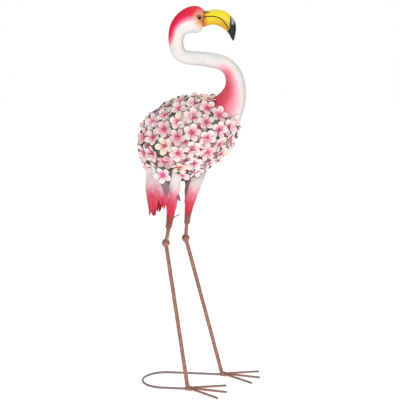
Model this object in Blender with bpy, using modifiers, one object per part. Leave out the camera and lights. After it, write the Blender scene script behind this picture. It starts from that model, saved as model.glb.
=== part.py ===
"""Flamingo garden statue: a standing bird of painted sheet metal, flowers, tube and rod.

Metres, +Z up. The bird looks along +X and its left side is +Y. The origin is on the ground,
below the middle of the statue.
"""

import math

import bmesh
import bpy
from mathutils import Matrix, Vector

# Clearances
GAP = 0.0003  # between pieces that touch
SLIP = 0.0004  # between the leg tube and what is threaded on it

# Rods, tubes and sheet
ROD = 0.006  # toes and ground hoop, diameter
LEG_TUBE = 0.011  # diameter
SHEET = 0.0012
KNEE_PROUD = 0.0055  # how far the knee ball stands out from the tube
WELD_PROUD = 0.003  # how far the weld under the leg stands out from the tube
WELD_HEIGHT = 0.011

# Feet and hoop on the ground
FOOT_SPREAD = 0.128
FOOT_BACK = {"right": -0.024, "left": 0.055}
HOOP_REACH = 0.1332  # from the right foot back to the end of the hoop
TOE_LENGTH = 0.106
TOE_FAN = math.radians(28.5)
FOOT_TURN = math.radians(-7.0)
TOE_LIFT = 0.0025  # how much higher a toe is at its root than at its tip

# Legs
KNEE_HEIGHT = 0.3895
KNEE_SPREAD = 0.080
KNEE_BACK = {"right": -0.0855, "left": -0.0440}
HIP_SPREAD = 0.072
HIP_BACK = {"right": -0.0615, "left": -0.0036}
LEG_BOW = {"right": 0.0044, "left": -0.0075}
LEG_TOP = 0.065  # how far the tube runs up inside the thigh sheet

# Body, an egg that tapers towards the breast and rises towards it
BODY_LENGTH = 0.262
BODY_HEIGHT = 0.182
BODY_WIDTH = 0.182
BODY_BACK = -0.0310
BODY_RISE = 0.6690
BODY_TILT = math.radians(26.0)
EGG_TAPER = 0.11

# Flowers
FLOWER_RADIUS = 0.0212
FLOWER_RISE = 0.0110
FLOWER_PITCH = 0.0435
RING_PITCH = 0.0350
PETALS = 5
STEM = 0.0050  # radius of the weld under a flower
STEM_DEPTH = 0.0075
RING_SHIFT = 0.176
RING_STAGGER = (0.6, 0.45, 0.8, 0.15, 0.25, 0.7, 0.05, 0.1, 0.0)  # from the tail forwards
# Two flowers off the rings, at the neck's foot: forward, aside and up from the body's middle
# in shares of its length, width and height, and the way they face
BREAST_FLOWER = (0.447, 0.143, 0.200)
BREAST_FACING = (0.90, 0.40, -0.10)
LOW_FLOWER = (0.0255, 0.0500)  # forward of the right front feather's root and below it
LOW_TILT = math.radians(20.0)
LOW_ROOM = 0.032  # kept free of other flowers round it
NECK_MARGIN = 0.004
NECK_ROOM = 0.0005  # clearance of the neck's pocket

# Thighs, sheet wrapped round the leg with an overlapping edge
THIGH_RADIUS = {"right": 0.0212, "left": 0.0245}
SLEEVE_RISE = 0.0405  # lower end of the thigh sheet above the knee
THIGH_SWELL = {"right": 0.95, "left": 0.85}  # share of its length at which a thigh is full
THIGH_LEAN = {"right": -0.0115, "left": 0.0}  # how far its top stands forward of the leg
THIGH_ROWS = 6
THIGH_SIDES = 15
LAP_TURN = math.radians(15.0)
HIP_SINK = 0.016  # how far a thigh goes into the body
LAP = 0.0030  # step of the overlapping edge at the top
SEAM = {"right": math.radians(-74.0), "left": math.radians(-103.0)}
# Tongues cut from the thigh sheet and bent out: height as a share of the thigh, heading,
# three places out from the wall and up from that height, half thickness, half width
TONGUES = {
    "right": [(0.53, -25.0, ((-0.0020, 0.012), (0.0045, 0.0), (0.0105, -0.012)), 0.0007, 0.0070),
              (0.16, -20.0, ((0.0002, -0.0012), (0.0065, 0.0050), (0.0205, 0.0125)),
               0.0016, 0.0022)],
    "left": [(0.74, -150.0, ((-0.0020, 0.012), (0.0020, 0.0), (0.0050, -0.010)), 0.0007, 0.0070)],
}

# Tail feathers: place of the root in shares of the body's length and width, how far the tip
# swings forward of it, heading, length, width and cup
TAIL_SINK = 0.012
FEATHER_ROWS = 5
FEATHER_BULGE = 0.6  # share of its cup
TAIL_MIDDLE = (-0.410, 0.0, 0.0020, math.pi, 0.152, 0.052, 0.012)
TAIL_PAIRS = {
    "inner": (-0.366, 0.209, 0.0080, math.radians(125.0), 0.149, 0.042, 0.005),
    "outer": (-0.309, 0.297, 0.0225, math.radians(105.0), 0.129, 0.032, 0.004),
    "front": (-0.302, 0.363, 0.0360, math.radians(97.0), 0.142, 0.036, 0.003),
}

# Neck and head
NECK_HEIGHT = 0.310  # scale of the stations below
NECK_SIDES = 12
BEAK_LENGTH = 0.084
EYE_RADIUS = 0.0052

BODY_MIDDLE = Vector((BODY_BACK, 0.0, BODY_RISE))
AXIS = Vector((math.cos(BODY_TILT), 0.0, math.sin(BODY_TILT)))
LIFT = Vector((-math.sin(BODY_TILT), 0.0, math.cos(BODY_TILT)))
SIDES = {"right": -1.0, "left": 1.0}


def clear_scene():
    for thing in list(bpy.data.objects):
        bpy.data.objects.remove(thing, do_unlink=True)


def collection(name):
    group = bpy.data.collections.new(name)
    bpy.context.scene.collection.children.link(group)
    return group


def paint(name, colour, roughness, metallic):
    material = bpy.data.materials.new(name)
    material.use_nodes = True
    shader = material.node_tree.nodes["Principled BSDF"]
    shader.inputs["Base Color"].default_value = (*colour, 1.0)
    shader.inputs["Roughness"].default_value = roughness
    shader.inputs["Metallic"].default_value = metallic
    return material


clear_scene()
STATUE = collection("flamingo_statue")
GUIDES = collection("guides")
POCKETS = collection("pockets")
WHITE = paint("white_enamel", (0.83, 0.81, 0.79), 0.35, 0.0)
PINK = paint("flower_enamel", (0.90, 0.42, 0.48), 0.45, 0.0)
RED = paint("feather_enamel", (0.72, 0.12, 0.17), 0.40, 0.0)
YELLOW = paint("beak_enamel", (0.86, 0.62, 0.05), 0.30, 0.0)
BLACK = paint("eye_enamel", (0.03, 0.02, 0.02), 0.10, 0.0)
BROWN = paint("rod_enamel", (0.33, 0.19, 0.16), 0.45, 0.2)


def make_object(name, data, material, group=STATUE):
    thing = bpy.data.objects.new(name, data)
    group.objects.link(thing)
    if material is not None and not data.materials:
        data.materials.append(material)
    if group is not STATUE:
        thing.hide_render = True
        thing.display_type = "WIRE"
    return thing


def finish_mesh(name, bm, smooth=math.radians(40.0)):
    bmesh.ops.recalc_face_normals(bm, faces=bm.faces)
    mesh = bpy.data.meshes.new(name)
    bm.to_mesh(mesh)
    bm.free()
    mesh.shade_smooth()
    mesh.set_sharp_from_angle(angle=smooth)
    return mesh


def spline(points, steps):
    """A smooth curve through tuples of any length, with so many steps between two of them."""
    ends = [points[0]] + list(points) + [points[-1]]
    curve = []
    for a, b, c, d in zip(ends, ends[1:], ends[2:], ends[3:]):
        for step in range(steps):
            t = step / steps
            curve.append(tuple(
                0.5 * (2 * q + (r - p) * t + (2 * p - 5 * q + 4 * r - s) * t * t
                       + (3 * q - p - 3 * r + s) * t ** 3)
                for p, q, r, s in zip(a, b, c, d)))
    curve.append(tuple(points[-1]))
    return curve


def sheet(name, rows, thickness, material, group=STATUE):
    """Sheet metal over a grid of points, half its wall on each side."""
    bm = bmesh.new()
    grid = [[bm.verts.new(point) for point in row] for row in rows]
    for upper, lower in zip(grid, grid[1:]):
        for k in range(len(upper) - 1):
            bm.faces.new((upper[k], upper[k + 1], lower[k + 1], lower[k]))
    thing = make_object(name, finish_mesh(name, bm), material, group)
    wall = thing.modifiers.new("wall", "SOLIDIFY")
    wall.thickness = thickness
    wall.offset = 0.0
    return thing


def loft(name, rings):
    """A closed skin over rings of equal count, with a flat cap on each end."""
    bm = bmesh.new()
    rows = [[bm.verts.new(point) for point in ring] for ring in rings]
    for below, above in zip(rows, rows[1:]):
        for k in range(len(below)):
            after = (k + 1) % len(below)
            bm.faces.new((below[k], below[after], above[after], above[k]))
    bm.faces.new(rows[0][::-1])
    bm.faces.new(rows[-1])
    return finish_mesh(name, bm)


def upright_rings(stations, sides, grow=0.0):
    """Oval rings square to a path in an upright plane along X; a station is x, z, half height
    in that plane and half width across it."""
    rings = []
    for k, (x, z, high, wide) in enumerate(stations):
        before = stations[max(k - 1, 0)]
        after = stations[min(k + 1, len(stations) - 1)]
        along = Vector((after[0] - before[0], 0.0, after[1] - before[1])).normalized()
        outward = Vector((along.z, 0.0, -along.x))
        rings.append([
            Vector((x, 0.0, z)) + outward * (high + grow) * math.cos(turn)
            + Vector((0.0, 1.0, 0.0)) * (wide + grow) * math.sin(turn)
            for turn in (math.tau * j / sides for j in range(sides))])
    return rings


def round_ring(place, along, radius, sides):
    across = along.cross(Vector((0.0, 1.0, 0.0))).normalized()
    over = along.cross(across).normalized()
    return [place + (across * math.cos(turn) + over * math.sin(turn)) * radius
            for turn in (math.tau * k / sides for k in range(sides))]


def rod(name, points, material, profile=None, radius=None):
    """A rod or tube along a run of points, round by radius or with a given profile."""
    curve = bpy.data.curves.new(name, "CURVE")
    curve.dimensions = "3D"
    curve.use_fill_caps = True
    if profile is None:
        curve.bevel_depth = radius
        curve.bevel_resolution = 2
    else:
        curve.twist_mode = "Z_UP"
        curve.bevel_mode = "OBJECT"
        curve.bevel_object = profile
    line = curve.splines.new("POLY")
    line.points.add(len(points) - 1)
    for point, place in zip(line.points, points):
        point.co = (*place, 1.0)
    return make_object(name, curve, material)


def octagon(diameter):
    """Profile of a rod that lies on the ground: eight sides with flats above and below."""
    curve = bpy.data.curves.new("rod_profile", "CURVE")
    curve.dimensions = "2D"
    line = curve.splines.new("POLY")
    line.points.add(7)
    reach = diameter / 2 / math.cos(math.pi / 8)
    for k, point in enumerate(line.points):
        turn = -math.tau * (k + 0.5) / 8
        point.co = (reach * math.cos(turn), reach * math.sin(turn), 0.0, 1.0)
    line.use_cyclic_u = True
    return make_object("rod_profile", curve, None, GUIDES)


def boolean(thing, operation, other):
    """Joins or cuts thing by an object or by every object of a collection."""
    step = thing.modifiers.new(operation.lower(), "BOOLEAN")
    step.operation = operation
    step.solver = "EXACT"
    if isinstance(other, bpy.types.Collection):
        step.operand_type = "COLLECTION"
        step.collection = other
    else:
        step.object = other


# The egg of the body

def egg_depth(point):
    """Below one inside the body's shell, one on it, more outside."""
    out = point - BODY_MIDDLE
    share = out.dot(AXIS) / (BODY_LENGTH / 2)
    taper = 1.0 - EGG_TAPER * share
    high = out.dot(LIFT) / (BODY_HEIGHT / 2 * taper)
    wide = out.y / (BODY_WIDTH / 2 * taper)
    return share ** 2 + high ** 2 + wide ** 2


def egg_hit(start, direction):
    """Where a ray from inside the shell leaves it."""
    inside, outside = 0.0, BODY_LENGTH
    for _ in range(40):
        middle = (inside + outside) / 2
        if egg_depth(start + direction * middle) < 1.0:
            inside = middle
        else:
            outside = middle
    return start + direction * inside


def egg_normal(point):
    step = 0.0005
    slope = [egg_depth(point + Vector(unit) * step) - egg_depth(point - Vector(unit) * step)
             for unit in ((1, 0, 0), (0, 1, 0), (0, 0, 1))]
    return Vector(slope).normalized()


def egg_underside(x, y):
    return egg_hit(Vector((x, y, BODY_RISE)), Vector((0.0, 0.0, -1.0))).z


def body_shell():
    rings = []
    around, along = 12, 8
    for k in range(1, along):
        turn = math.pi * k / along
        share = -math.cos(turn)
        taper = math.sin(turn) * (1.0 - EGG_TAPER * share)
        rings.append([
            BODY_MIDDLE + AXIS * BODY_LENGTH / 2 * share
            + LIFT * BODY_HEIGHT / 2 * taper * math.cos(math.tau * j / around)
            + Vector((0.0, BODY_WIDTH / 2 * taper * math.sin(math.tau * j / around), 0.0))
            for j in range(around)])
    return loft("flower_body", rings)


# Neck and head: stations as shares of the neck's height, from its foot inside the body,
# round the two bends to the face: forward, up, half height, half width

NECK_STATIONS = [
    (-0.050, -0.070, 0.120, 0.115),
    (-0.006, 0.002, 0.152, 0.142),
    (0.047, 0.068, 0.147, 0.136),
    (0.092, 0.145, 0.119, 0.112),
    (0.118, 0.228, 0.093, 0.089),
    (0.115, 0.312, 0.077, 0.074),
    (0.079, 0.396, 0.067, 0.066),
    (-0.006, 0.458, 0.064, 0.063),
    (-0.178, 0.484, 0.058, 0.058),
    (-0.279, 0.492, 0.057, 0.057),
    (-0.334, 0.512, 0.059, 0.058),
    (-0.367, 0.556, 0.060, 0.059),
    (-0.378, 0.605, 0.061, 0.060),
    (-0.380, 0.656, 0.065, 0.062),
    (-0.363, 0.722, 0.077, 0.067),
    (-0.315, 0.772, 0.097, 0.075),
    (-0.248, 0.805, 0.111, 0.081),
    (-0.190, 0.803, 0.110, 0.079),
    (-0.145, 0.799, 0.079, 0.060),
]
NECK_FOOT = BODY_MIDDLE + AXIS * BODY_LENGTH * 0.379 + LIFT * BODY_HEIGHT * 0.039
EYE_PLACE = (-0.172, 0.814, 0.077)  # forward, up and out, in the same shares

# Beak: stations as shares of its length: forward and up of its upper edge, the same of its
# lower edge, half width
BEAK_STATIONS = [
    (-0.060, 0.245, -0.060, -0.240, 0.172),
    (0.010, 0.248, 0.054, -0.238, 0.178),
    (0.206, 0.266, 0.176, -0.194, 0.167),
    (0.360, 0.284, 0.308, -0.180, 0.157),
    (0.515, 0.278, 0.442, -0.202, 0.149),
    (0.672, 0.226, 0.558, -0.256, 0.140),
    (0.804, 0.136, 0.640, -0.316, 0.129),
    (0.908, 0.022, 0.712, -0.374, 0.117),
    (0.984, -0.108, 0.766, -0.430, 0.101),
    (1.010, -0.264, 0.812, -0.502, 0.083),
    (0.996, -0.440, 0.856, -0.585, 0.060),
    (0.944, -0.652, 0.912, -0.668, 0.014),
]


def neck_path():
    place = [(NECK_FOOT.x + NECK_HEIGHT * x, NECK_FOOT.z + NECK_HEIGHT * z,
              NECK_HEIGHT * high, NECK_HEIGHT * wide) for x, z, high, wide in NECK_STATIONS]
    return spline(place, 2)


def beak_rings(grow=0.0):
    root = Vector((NECK_FOOT.x - 0.150 * NECK_HEIGHT, 0.0, NECK_FOOT.z + 0.810 * NECK_HEIGHT))
    rings = []
    for top_x, top_z, low_x, low_z, wide in BEAK_STATIONS:
        top = root + Vector((top_x, 0.0, top_z)) * BEAK_LENGTH
        low = root + Vector((low_x, 0.0, low_z)) * BEAK_LENGTH
        half = (top - low) / 2
        half += half.normalized() * grow
        side = Vector((0.0, wide * BEAK_LENGTH + grow, 0.0))
        middle = (top + low) / 2
        if grow and not rings:
            middle -= Vector((grow, 0.0, 0.0))
        rings.append([middle + half * math.cos(turn) + side * math.sin(turn)
                      for turn in (math.tau * k / 12 for k in range(12))])
    return rings


def neck_pocket():
    """The room that the neck's foot takes up in the body."""
    path = neck_path()[:14]
    rings = upright_rings(path, NECK_SIDES, NECK_ROOM)
    along = Vector((path[1][0] - path[0][0], 0.0, path[1][1] - path[0][1])).normalized()
    rings[0] = [point - along * NECK_ROOM for point in rings[0]]
    make_object("neck_pocket", loft("neck_pocket", rings), None, POCKETS)


def ball(name, centre, radius, material, group=STATUE, segments=12):
    bm = bmesh.new()
    bmesh.ops.create_uvsphere(bm, u_segments=segments, v_segments=segments // 2 + 1,
                              radius=radius)
    thing = make_object(name, finish_mesh(name, bm), material, group)
    thing.location = centre
    return thing


def neck_head_and_beak():
    path = neck_path()
    skin = loft("neck_and_head", upright_rings(path, NECK_SIDES))
    head = make_object("neck_and_head", skin, WHITE)
    make_object("beak", loft("beak", beak_rings()), YELLOW)
    socket = make_object("beak_socket", loft("beak_socket", beak_rings(GAP)[:6]), None, GUIDES)
    boolean(head, "DIFFERENCE", socket)
    for side, sign in SIDES.items():
        x, z, wide = EYE_PLACE
        centre = NECK_FOOT + Vector((x, sign * wide, z)) * NECK_HEIGHT
        ball("eye_" + side, centre, EYE_RADIUS, BLACK, segments=10)
        boolean(head, "DIFFERENCE",
                ball("eye_socket_" + side, centre, EYE_RADIUS + GAP, None, GUIDES, segments=10))


# Legs: a tube bent at the knee, from the foot up into the thigh

def foot_place(side):
    return Vector((FOOT_BACK[side], SIDES[side] * FOOT_SPREAD / 2, 0.0))


def knee_place(side):
    return Vector((KNEE_BACK[side], SIDES[side] * KNEE_SPREAD / 2, KNEE_HEIGHT))


def leg_line(side, share):
    """The upper leg's middle line, from the knee at 0 to the hip inside the body at 1."""
    x, y = HIP_BACK[side], SIDES[side] * HIP_SPREAD / 2
    hip = Vector((x, y, egg_underside(x, y) + HIP_SINK))
    bow = Vector((LEG_BOW[side] * 4 * share * (1 - share), 0.0, 0.0))
    return knee_place(side).lerp(hip, share) + bow


def share_at(side, rise):
    """Share of the upper leg's line that lies so far above the knee."""
    return rise / (leg_line(side, 1.0).z - KNEE_HEIGHT)


def leg(side):
    knee, foot = knee_place(side), foot_place(side)
    along = (knee - foot).normalized()
    tilt_room = LEG_TUBE / 2 * math.sqrt(1 - along.z ** 2)
    start = foot + along * ((WELD_HEIGHT + GAP + tilt_room) / along.z)
    top = share_at(side, SLEEVE_RISE + LEG_TOP)
    steps = 5
    points = [start, knee] + [leg_line(side, top * k / steps) for k in range(1, steps + 1)]
    rod("leg_" + side, points, BROWN, radius=LEG_TUBE / 2)
    knee_ball = ball("knee_" + side, knee, LEG_TUBE / 2 + KNEE_PROUD, BROWN)
    reach = LEG_TUBE / 2 + KNEE_PROUD * 2
    upper = (leg_line(side, 0.1) - knee).normalized()
    rings = [round_ring(place, way, LEG_TUBE / 2 + SLIP, 12)
             for place, way in ((knee - along * reach, along), (knee, along + upper),
                                (knee + upper * reach, upper))]
    boolean(knee_ball, "DIFFERENCE",
            make_object("knee_bore_" + side, loft("knee_bore", rings), None, GUIDES))


# Thighs: a cone of sheet round the leg, one edge lapping over the other

def smooth_share(t):
    return t * t * (3 - 2 * t)


def thigh_radius(side, t):
    sleeve = LEG_TUBE / 2 + SLIP + SHEET / 2
    return sleeve + (THIGH_RADIUS[side] - sleeve) * smooth_share(min(1.0, t / THIGH_SWELL[side]))


def thigh_axis(side, t):
    low = share_at(side, SLEEVE_RISE)
    return leg_line(side, low + (1 - low) * t) + Vector((THIGH_LEAN[side] * t ** 3, 0.0, 0.0))


def thigh(side):
    rows = []
    lap_low = SHEET + 2 * SLIP
    for i in range(THIGH_ROWS + 1):
        t = i / THIGH_ROWS
        middle = thigh_axis(side, t)
        lap = lap_low + (LAP - lap_low) * smooth_share(t)
        row = []
        for k in range(THIGH_SIDES + 1):
            share = k / THIGH_SIDES
            turn = SEAM[side] + (math.tau + LAP_TURN) * share
            radius = thigh_radius(side, t) + lap * (1 - share)
            row.append(middle + Vector((math.cos(turn), math.sin(turn), 0.0)) * radius)
        rows.append(row)
    wrap = sheet("thigh_" + side, rows, SHEET, RED)
    for number, (share, heading, places, thick, wide) in enumerate(TONGUES[side]):
        stations = [(thigh_radius(side, share) + x, z, thick, wide * taper)
                    for (x, z), taper in zip(places, (1.0, 0.95, 0.3))]
        cut = make_object("tongue_%s_%d" % (side, number),
                          loft("tongue", upright_rings(stations, 8)), None, GUIDES)
        cut.location = thigh_axis(side, share)
        cut.rotation_euler.z = math.radians(heading)
        boolean(wrap, "UNION", cut)
    rings = []
    for t in (0.45, 0.6, 0.8, 1.0, 1.0 + GAP * 10):
        middle = thigh_axis(side, t)
        clear = thigh_radius(side, min(t, 1.0)) + LAP + SHEET / 2 + GAP
        reach = clear / math.cos(math.pi / THIGH_SIDES)
        rings.append([middle + Vector((math.cos(turn), math.sin(turn), 0.0)) * reach
                      for turn in (math.tau * k / THIGH_SIDES for k in range(THIGH_SIDES))])
    make_object("thigh_pocket_" + side, loft("thigh_pocket", rings), None, POCKETS)


# Feet and ground hoop

def foot(side):
    hub = foot_place(side)
    waist = LEG_TUBE / 2 + WELD_PROUD
    web = (ROD / 2 + SLIP) / math.sin(TOE_FAN / 2)
    rings = []
    for height, share in ((0.0, 0.85), (WELD_HEIGHT * 0.3, 1.0), (WELD_HEIGHT * 0.65, 0.95),
                          (WELD_HEIGHT, 0.0)):
        ring = []
        for k in range(20):
            turn = math.tau * k / 20
            spread = max(0.0, min(1.0, 2.2 - abs(math.remainder(turn, math.tau)) / TOE_FAN))
            reach = waist * max(share, 0.75) + (web - waist) * smooth_share(spread) * share
            heading = turn + FOOT_TURN
            ring.append(hub + Vector((math.cos(heading) * reach, math.sin(heading) * reach,
                                      height)))
        rings.append(ring)
    make_object("weld_" + side, loft("weld_" + side, rings), BROWN)
    for name, fan in (("inner", -SIDES[side]), ("middle", 0.0), ("outer", SIDES[side])):
        heading = FOOT_TURN + fan * TOE_FAN
        out = Vector((math.cos(heading), math.sin(heading), 0.0))
        root = hub + out * (web + GAP) + Vector((0.0, 0.0, ROD / 2 + TOE_LIFT))
        tip = hub + out * TOE_LENGTH + Vector((0.0, 0.0, ROD / 2))
        rod("toe_%s_%s" % (side, name), [root, tip], BROWN, profile=PROFILE)


def ground_hoop():
    radius = FOOT_SPREAD / 2
    back = FOOT_BACK["right"] - HOOP_REACH + radius
    clear = LEG_TUBE / 2 + WELD_PROUD + GAP
    points = [(FOOT_BACK["right"] - clear, -radius, ROD / 2)]
    steps = 12
    for k in range(steps + 1):
        turn = -math.pi / 2 - math.pi * k / steps
        points.append((back + radius * math.cos(turn), radius * math.sin(turn), ROD / 2))
    points.append((FOOT_BACK["left"] - clear, radius, ROD / 2))
    rod("ground_hoop", points, BROWN, profile=PROFILE)


# Tail feathers: cupped leaves of sheet that hang from under the body

def feather(name, back, aside, swing, facing, length, width, cup):
    root_x, y = BODY_BACK + back * BODY_LENGTH, aside * BODY_WIDTH
    top = Vector((root_x, y, egg_underside(root_x, y) + TAIL_SINK))
    tip = top + Vector((swing, 0.0, -length))
    outward = Vector((math.cos(facing), math.sin(facing), 0.0))
    across = Vector((-outward.y, outward.x, 0.0))

    def leaf(extra):
        rows = []
        for i in range(FEATHER_ROWS + 1):
            t = i / FEATHER_ROWS
            bulge = cup * FEATHER_BULGE * math.sin(math.pi * t) ** 2
            middle = top.lerp(tip, t) + outward * bulge
            if extra and i == 0:
                middle += Vector((0.0, 0.0, extra))
            half = width / 2 * (0.06 + 0.94 * (1 - t ** 3.2) ** 0.7) + extra
            rows.append([middle + across * half * v - outward * cup * v * v
                         for v in (-1.0, -0.5, 0.0, 0.5, 1.0)])
        return rows

    sheet(name, leaf(0.0), SHEET, RED)
    sheet(name + "_slot", leaf(GAP), SHEET + 2 * GAP, None, POCKETS)


def low_flower_place():
    """Place and outward direction of the flower on the right front feather."""
    back, aside, _, _, _, _, cup = TAIL_PAIRS["front"]
    x, y = BODY_BACK + back * BODY_LENGTH, -aside * BODY_WIDTH
    rise = egg_underside(x, y) + TAIL_SINK
    clear = (cup * FEATHER_BULGE + SHEET / 2 + GAP
             + STEM_DEPTH * math.cos(LOW_TILT) + STEM * math.sin(LOW_TILT))
    return (Vector((x + LOW_FLOWER[0], y - clear, rise - LOW_FLOWER[1])),
            Vector((0.0, -math.cos(LOW_TILT), -math.sin(LOW_TILT))))


def tail():
    feather("tail_feather_middle", *TAIL_MIDDLE)
    for name, (back, aside, swing, facing, length, width, cup) in TAIL_PAIRS.items():
        for side, sign in SIDES.items():
            turn = math.copysign(facing, sign)
            feather("tail_feather_%s_%s" % (name, side), back, sign * aside, swing, turn,
                    length, width, cup)


# Flowers: rings round the egg, staggered, welded to the shell and to each other

def flower_mesh():
    bm = bmesh.new()
    neck, stem = [[bm.verts.new((STEM * math.cos(math.tau * k / 3),
                                 STEM * math.sin(math.tau * k / 3), height))
                   for k in range(3)] for height in (FLOWER_RISE * 0.2, -STEM_DEPTH)]
    rim = []
    for k in range(2 * PETALS):
        turn = math.tau * k / (2 * PETALS)
        reach = FLOWER_RADIUS * (1.0 if k % 2 == 0 else 0.70)
        height = FLOWER_RISE * (1.0 if k % 2 == 0 else 0.80)
        rim.append(bm.verts.new((reach * math.cos(turn), reach * math.sin(turn), height)))
    centre = bm.verts.new((0.0, 0.0, FLOWER_RISE * 0.45))
    for k in range(2 * PETALS):
        after = (k + 1) % (2 * PETALS)
        bm.faces.new((rim[k], rim[after], centre))
        low = neck[round(3 * (k + 0.5) / (2 * PETALS)) % 3]
        bm.faces.new((rim[after], rim[k], low))
        beyond = neck[round(3 * (after + 0.5) / (2 * PETALS)) % 3]
        if beyond is not low:
            bm.faces.new((rim[after], low, beyond))
    for k in range(3):
        bm.faces.new((neck[(k + 1) % 3], neck[k], stem[k], stem[(k + 1) % 3]))
    bm.faces.new(stem[::-1])
    return finish_mesh("flower", bm)


def covered(point):
    """True where the neck, a thigh or the low flower leaves no room for a flower."""
    if (point - low_flower_place()[0]).length < LOW_ROOM:
        return True
    for x, z, high, wide in neck_path():
        if (point - Vector((x, 0.0, z))).length < (high + wide) / 2 + NECK_MARGIN:
            return True
    for side in SIDES:
        middle = thigh_axis(side, 1.0)
        if Vector((point.x - middle.x, point.y - middle.y)).length < THIGH_RADIUS[side] \
                and point.z < BODY_RISE:
            return True
    return False


def flower_places():
    """Place, outward direction and turn of every flower, ring by ring from the breast."""
    half_x = math.hypot(BODY_LENGTH / 2 * AXIS.x, BODY_HEIGHT / 2 * LIFT.x)
    half_z = math.hypot(BODY_LENGTH / 2 * AXIS.z, BODY_HEIGHT / 2 * LIFT.z)
    drift = ((BODY_LENGTH ** 2 - BODY_HEIGHT ** 2) / 4 * AXIS.x * AXIS.z) / half_x ** 2
    step = RING_PITCH / ((half_x + half_z) / 2 + FLOWER_RISE)
    rings = len(RING_STAGGER) // 2
    places = []
    for ring in range(-rings, rings + 1):
        along = half_x * math.sin(ring * step + RING_SHIFT)
        thin = math.cos(ring * step + RING_SHIFT)
        start = BODY_MIDDLE + Vector((along, 0.0, along * drift))
        girth = math.tau * (thin * (half_z + BODY_WIDTH / 2) / 2 + FLOWER_RISE / 2)
        count = max(3, round(girth / FLOWER_PITCH))
        for k in range(count):
            turn = math.tau * (k + RING_STAGGER[ring + rings]) / count
            out = Vector((0.0, -math.cos(turn), math.sin(turn)))
            spot = egg_hit(start, out)
            if not covered(spot):
                places.append((spot, egg_normal(spot), turn * 3 + ring))
    for sign in SIDES.values():
        forward, aside, up = BREAST_FLOWER
        off = Vector((forward * BODY_LENGTH, sign * aside * BODY_WIDTH, up * BODY_HEIGHT))
        facing = Vector((BREAST_FACING[0], sign * BREAST_FACING[1], BREAST_FACING[2]))
        places.append((BODY_MIDDLE + off, facing.normalized(), 0.3))
    return places


def flower_matrix(spot, normal, turn):
    return (Matrix.Translation(spot) @ normal.to_track_quat("Z", "Y").to_matrix().to_4x4()
            @ Matrix.Rotation(turn, 4, "Z"))


def low_flower():
    flower = make_object("low_flower", flower_mesh(), PINK)
    flower.matrix_world = flower_matrix(*low_flower_place(), 0.3)


def flower_body():
    body = make_object("flower_body_work", body_shell(), PINK, GUIDES)
    flowers = bpy.data.collections.new("flowers")
    bpy.context.scene.collection.children.link(flowers)
    mesh = flower_mesh()
    for number, (spot, normal, turn) in enumerate(flower_places()):
        flower = bpy.data.objects.new("flower_%d" % number, mesh)
        flowers.objects.link(flower)
        flower.hide_render = True
        flower.display_type = "WIRE"
        flower.matrix_world = flower_matrix(spot, normal, turn)
    boolean(body, "UNION", flowers)
    boolean(body, "DIFFERENCE", POCKETS)
    bpy.context.view_layer.update()
    worked = body.evaluated_get(bpy.context.evaluated_depsgraph_get())
    bm = bmesh.new()
    bm.from_mesh(worked.to_mesh())
    drop_chips(bm)
    make_object("flower_body", finish_mesh("flower_body", bm), PINK)


def drop_chips(bm):
    """Keeps the largest connected body and drops the chips that a pocket cut loose."""
    left = set(bm.verts)
    bodies = []
    while left:
        group, edge = set(), [left.pop()]
        while edge:
            vert = edge.pop()
            group.add(vert)
            for link in vert.link_edges:
                other = link.other_vert(vert)
                if other in left:
                    left.remove(other)
                    edge.append(other)
        bodies.append(group)
    keep = max(bodies, key=len)
    for group in bodies:
        if group is not keep:
            bmesh.ops.delete(bm, geom=list(group), context="VERTS")


PROFILE = octagon(ROD)
neck_head_and_beak()
for each_side in SIDES:
    leg(each_side)
    thigh(each_side)
    foot(each_side)
ground_hoop()
tail()
low_flower()
neck_pocket()
flower_body()

# Everything so far stands about the bird's plane of symmetry; the feet turn a little to its
# right, so the whole is moved until the origin lies below the middle of the statue
FRONT = FOOT_BACK["left"] + TOE_LENGTH * math.cos(FOOT_TURN)
BACK = FOOT_BACK["right"] - HOOP_REACH - ROD / 2
RIGHT = -FOOT_SPREAD / 2 - TOE_LENGTH * math.sin(TOE_FAN - FOOT_TURN) - ROD / 2
LEFT = math.hypot(BODY_WIDTH / 2 + FLOWER_RISE, FLOWER_RADIUS)
for thing in bpy.data.objects:
    thing.location -= Vector(((FRONT + BACK) / 2, (LEFT + RIGHT) / 2, 0.0))
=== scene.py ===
"""Looks of a flamingo garden statue: enamelled sheet metal, pressed flowers, tube and rod.

Metres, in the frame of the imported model. The bird looks along +X and its left side is +Y.
"""

import math
import random

import bmesh
import bpy
from mathutils import Matrix, Vector


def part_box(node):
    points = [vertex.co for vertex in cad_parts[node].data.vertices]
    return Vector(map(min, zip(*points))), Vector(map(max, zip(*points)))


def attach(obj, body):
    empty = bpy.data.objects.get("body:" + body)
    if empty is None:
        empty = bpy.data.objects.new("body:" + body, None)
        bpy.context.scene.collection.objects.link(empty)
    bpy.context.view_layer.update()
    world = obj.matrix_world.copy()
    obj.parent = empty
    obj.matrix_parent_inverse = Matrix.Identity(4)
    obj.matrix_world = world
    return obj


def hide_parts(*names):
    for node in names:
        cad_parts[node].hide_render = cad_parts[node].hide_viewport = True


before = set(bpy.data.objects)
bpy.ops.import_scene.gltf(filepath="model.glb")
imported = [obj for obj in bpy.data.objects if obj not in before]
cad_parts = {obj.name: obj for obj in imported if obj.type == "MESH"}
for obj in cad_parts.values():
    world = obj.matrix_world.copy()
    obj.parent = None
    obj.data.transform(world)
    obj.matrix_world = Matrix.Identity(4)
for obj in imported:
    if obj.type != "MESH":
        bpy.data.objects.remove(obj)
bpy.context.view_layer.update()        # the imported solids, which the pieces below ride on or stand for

NECK_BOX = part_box("neck_and_head")
MIDDLE = (NECK_BOX[0].y + NECK_BOX[1].y) / 2  # the bird's plane of symmetry
SIDES = {"right": -1.0, "left": 1.0}
UP = Vector((0.0, 0.0, 1.0))
DICE = random.Random(11)

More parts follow.
